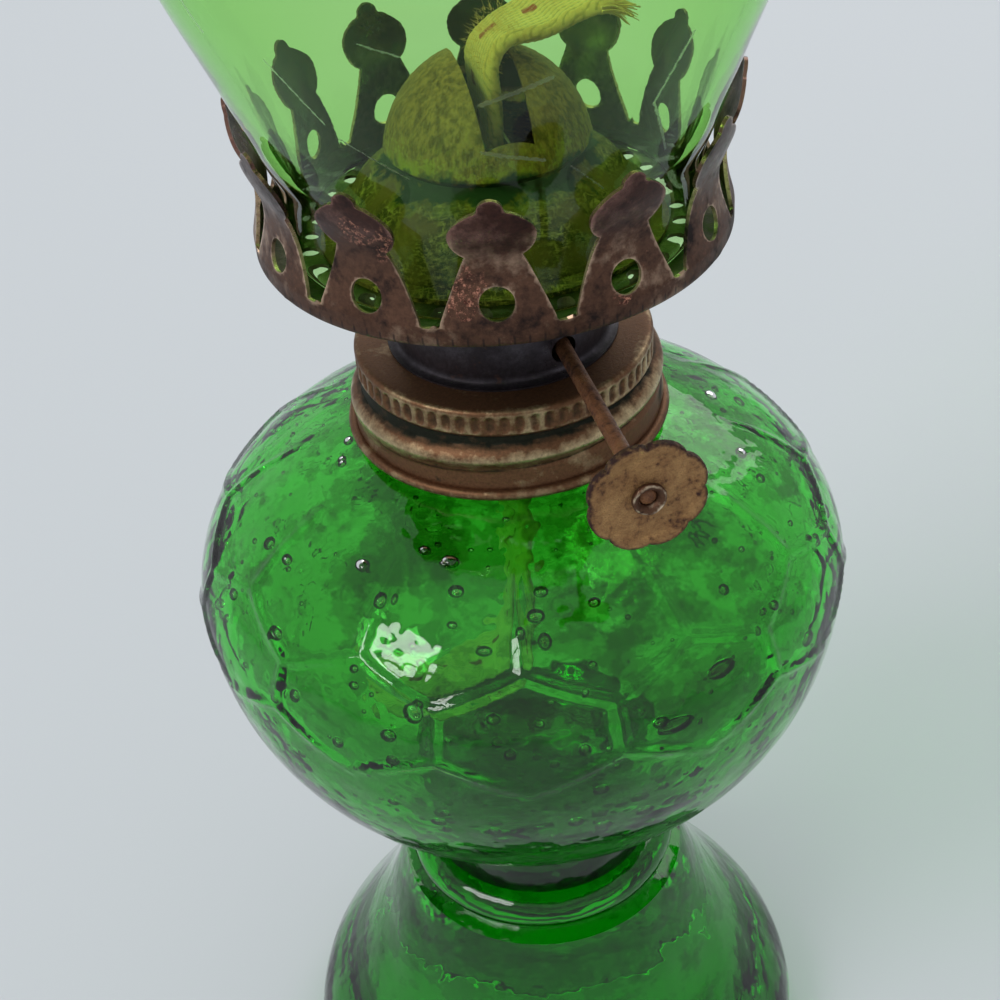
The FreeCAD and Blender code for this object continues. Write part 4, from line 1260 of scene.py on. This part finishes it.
def make_wick():
    """Sweeps the strip's section along its line by extruding, then raises the weave."""
    rows, run = wick_line()
    fine_start = run[-1] - wick_fine_run
    stations = np.concatenate([np.arange(0, fine_start, wick_coarse_step),
                               np.arange(fine_start, run[-1], wick_fine_step), [run[-1]]])
    bpy.ops.object.select_all(action="DESELECT")
    bpy.ops.mesh.primitive_circle_add(vertices=wick_columns, radius=wick_thickness, fill_type="NOTHING")
    piece = bpy.context.object
    piece.name = piece.data.name = "woven_wick"
    bpy.ops.object.mode_set(mode="EDIT")
    bpy.ops.mesh.select_all(action="SELECT")
    for _ in stations[1:]:
        bpy.ops.mesh.extrude_edges_move(TRANSFORM_OT_translate={"value": (0, 0, wick_fine_step)})
    bpy.ops.object.mode_set(mode="OBJECT")
    co = places(piece)
    row = np.round(co[:, 2] / wick_fine_step).astype(int)
    column = np.round(np.arctan2(co[:, 1], co[:, 0]) / math.tau * wick_columns).astype(int) % wick_columns
    section = np.array([section_point((i + 0.5) / wick_columns) for i in range(wick_columns)])
    through, across = section[column].T
    along = stations[row]

    def line_at(where):
        return np.interp(where, run, rows[:, 0]), np.interp(where, run, rows[:, 1])

    (x, z), (x_next, z_next), (x_last, z_last) = map(line_at, (along, along + 0.0002, along - 0.0002))
    tilt = np.arctan2(z_next - z_last, x_next - x_last)
    free = np.clip((along - run[-1] + wick_free_run) / wick_free_fade, 0, 1)
    frayed = np.clip((along - run[-1] + wick_frayed_run) / wick_frayed_run, 0, 1)
    slant = across / yarn_pitch - np.sign(through) * along / weft_pitch
    slant += 0.25 * np.sin(along * 1900 + across * 700)
    lift = yarn_height * np.abs(np.cos(slant * math.pi)) ** 0.7
    lift *= 0.75 + 0.25 * np.cos(along / yarn_pitch * math.tau)
    fine_zone = np.clip((along - fine_start) / 0.002, 0, 1)
    narrowed = across * (1 - 0.10 * free + 0.05 * free * np.sin(along * 900)) * (1 - 0.12 * frayed)
    ripple = 0.0003 * free * np.sin(along * 520 + across * 260)
    reach = through * (1 - 0.05 * (1 - fine_zone)) + ripple
    reach += np.sign(through) * (lift - yarn_height) * fine_zone * (np.abs(through) > 0.0004)
    sideways = narrowed + 0.0004 * free * np.sin(along * 300)
    move_to(piece, np.stack([x - reach * np.sin(tilt), sideways, z + reach * np.cos(tilt)], 1))
    stitched = np.sin(along / tracer_stitch * math.tau) > 0.35
    set_attribute(piece, "tracer", np.exp(-((across - tracer_offset) / tracer_half_width) ** 2) * stitched)
    # Painted shade: hollow marks the low places between the yarns, which the material paints darker.
    set_attribute(piece, "hollow", 1 - lift / yarn_height)
    bpy.ops.object.mode_set(mode="EDIT")
    bpy.ops.mesh.select_all(action="DESELECT")
    bpy.ops.mesh.select_non_manifold()
    bpy.ops.mesh.edge_face_add()
    leave_edit()
    return piece, rows[-1]


def add_fibres(piece, end):
    """Frayed yarn ends at the free end and fine fuzz along the bent part, as thin tapering tubes."""
    rng = random.Random(19)
    strands = []
    direction = Vector((math.cos(wick_flop_rise), 0, math.sin(wick_flop_rise)))
    normal = Vector((-math.sin(wick_flop_rise), 0, math.cos(wick_flop_rise)))
    for _ in range(fray_count):
        start = Vector((end[0], rng.uniform(-0.42, 0.42) * wick_width, end[1])) - direction * 0.0015
        start += normal * rng.uniform(-0.3, 0.3) * wick_thickness
        swing = Vector((rng.uniform(-0.3, 0.4), rng.uniform(-0.5, 0.5), rng.uniform(-1.1, 0.0)))
        length = rng.uniform(0.0018, 0.0042)
        points = [start + direction * length * t + swing * length * t * t * 0.7 for t in (0, 0.35, 0.7, 1.0)]
        strands.append((points, rng.uniform(0.00011, 0.00020)))
    for _ in range(fuzz_count):
        angle = rng.uniform(0.2, math.pi / 2 - wick_flop_rise)
        face = rng.choice((-1, 1))
        radius = wick_flop_radius + face * wick_thickness / 2
        start = Vector((wick_flop_radius - radius * math.cos(angle), rng.uniform(-0.45, 0.45) * wick_width,
                        wick_flop_height + radius * math.sin(angle)))
        out = Vector((-math.cos(angle), 0, math.sin(angle))) * face
        swing = Vector((rng.uniform(-1, 1), rng.uniform(-1, 1), rng.uniform(-1, 1)))
        length = rng.uniform(0.0003, 0.0009) * (1 if face > 0 else 0.2)
        points = [start + (out * t + swing * t * t * 0.8) * length for t in (0, 0.5, 1.0)]
        strands.append((points, fuzz_radius))
    line = bpy.data.curves.new("fibres", "CURVE")
    line.dimensions = "3D"
    line.bevel_depth = 1.0
    line.bevel_resolution = 0
    line.use_fill_caps = True
    for points, radius in strands:
        spline = line.splines.new("POLY")
        spline.points.add(len(points) - 1)
        for i, point in enumerate(points):
            spline.points[i].co = (*point, 1)
            spline.points[i].radius = radius * (1 - 0.7 * i / (len(points) - 1))
    fibres = bpy.data.objects.new("fibres", line)
    bpy.context.scene.collection.objects.link(fibres)
    pick(fibres)
    bpy.ops.object.convert(target="MESH")
    fibres = bpy.context.object
    set_attribute(fibres, "tracer", np.zeros(len(fibres.data.vertices)))
    set_attribute(fibres, "hollow", np.full(len(fibres.data.vertices), 0.3))
    pick(piece, fibres)
    bpy.ops.object.join()


def wick_material():
    material, tree, shader = new_material("yellowed_wick_cotton", Sheen_Weight=0.35, Sheen_Roughness=0.5)
    place = own_place(tree)
    broad = noise(place, 220, 5).spread(0.35, 0.65)
    colour = mixed(broad, (0.64, 0.30, 0.10), (0.82, 0.44, 0.18))
    fibre = noise(place, 2600, 3, 0.7, (1, 1, 0.35)).spread(0.35, 0.65, 0.0, 0.35)
    colour = mixed(fibre, colour, (0.84, 0.56, 0.26))
    # Painted shade in the weave: the low places between the yarns are painted dark brown.
    colour = mixed(attribute_value(tree, "hollow").spread(0.45, 1.0, 0.0, 0.75), colour, (0.26, 0.12, 0.03))
    colour = mixed(attribute_value(tree, "tracer").spread(0.25, 0.6), colour, (0.36, 0.020, 0.012))
    paint(tree, colour, broad.spread(0, 1, 0.8, 0.95))
    feed(shader.inputs["Normal"],
         add_node(tree, "Bump", {"Distance": 0.00008, "Height": noise(place, 3500, 3, 0.7)}))
    return material


wick, wick_end = make_wick()
add_fibres(wick, wick_end)
wick.data.transform(Matrix.Rotation(slot_azimuth, 4, "Z"))
smooth(wick, 80)
finish(wick, wick_material(), "wick_strip", "wick_cotton", "wick")

# Camera, at the photograph's angle
camera_lens = 61.2
camera_sensor = 36
camera_elevation = math.radians(37.57)
camera_roll = math.radians(-4.98)
camera_distance = 0.2075
camera_target = Vector((-0.0020, 0, 0.1004))
sin_e, cos_e = math.sin(camera_elevation), math.cos(camera_elevation)
sin_r, cos_r = math.sin(camera_roll), math.cos(camera_roll)
camera_right = Vector((cos_r, sin_r * sin_e, sin_r * cos_e))
camera_up = Vector((-sin_r, cos_r * sin_e, cos_r * cos_e))
camera_back = Vector((0, -cos_e, sin_e))
camera_data = bpy.data.cameras.new("camera")
camera_data.lens = camera_lens
camera_data.sensor_width = camera_sensor
camera_data.clip_start = 0.01
camera = bpy.data.objects.new("camera", camera_data)
bpy.context.scene.collection.objects.link(camera)
camera_turn = Matrix((camera_right, camera_up, camera_back)).transposed().to_4x4()
camera.matrix_world = Matrix.Translation(camera_target + camera_back * camera_distance) @ camera_turn
bpy.context.scene.camera = camera

# Pale floor and soft studio light from two window panes on the left and a broad one behind
floor_colour = (0.61, 0.64, 0.66)
floor_size = 6.0
world_colour = (0.93, 0.96, 1.0)
world_strength = 0.58
light_target = Vector((0, 0, 0.12))
windows = (("window_upper_pane", (-0.70, -0.50, 1.02), 0.55, 0.18, 2.8),
           ("window_lower_pane", (-0.76, -0.54, 0.80), 0.55, 0.16, 2.4),
           ("window_back", (0.3, 0.9, 0.9), 1.3, 0.9, 6))

bpy.ops.object.select_all(action="DESELECT")
bpy.ops.mesh.primitive_plane_add(size=floor_size)
floor = bpy.context.object
floor.name = "floor"
floor.data.materials.append(new_material("pale_floor", Roughness=0.7, Base_Color=floor_colour)[0])

world = bpy.data.worlds.new("studio")
bpy.context.scene.world = world
world.use_nodes = True
feed(world.node_tree.nodes["Background"].inputs["Color"], world_colour)
feed(world.node_tree.nodes["Background"].inputs["Strength"], world_strength)

for name, place, width, height, power in windows:
    light = bpy.data.lights.new(name, "AREA")
    light.shape = "RECTANGLE"
    light.size, light.size_y, light.energy = width, height, power
    lamp = bpy.data.objects.new(name, light)
    bpy.context.scene.collection.objects.link(lamp)
    lamp.location = place
    lamp.rotation_euler = (light_target - Vector(place)).to_track_quat("-Z", "Y").to_euler()

bpy.context.scene.view_settings.view_transform = "Standard"
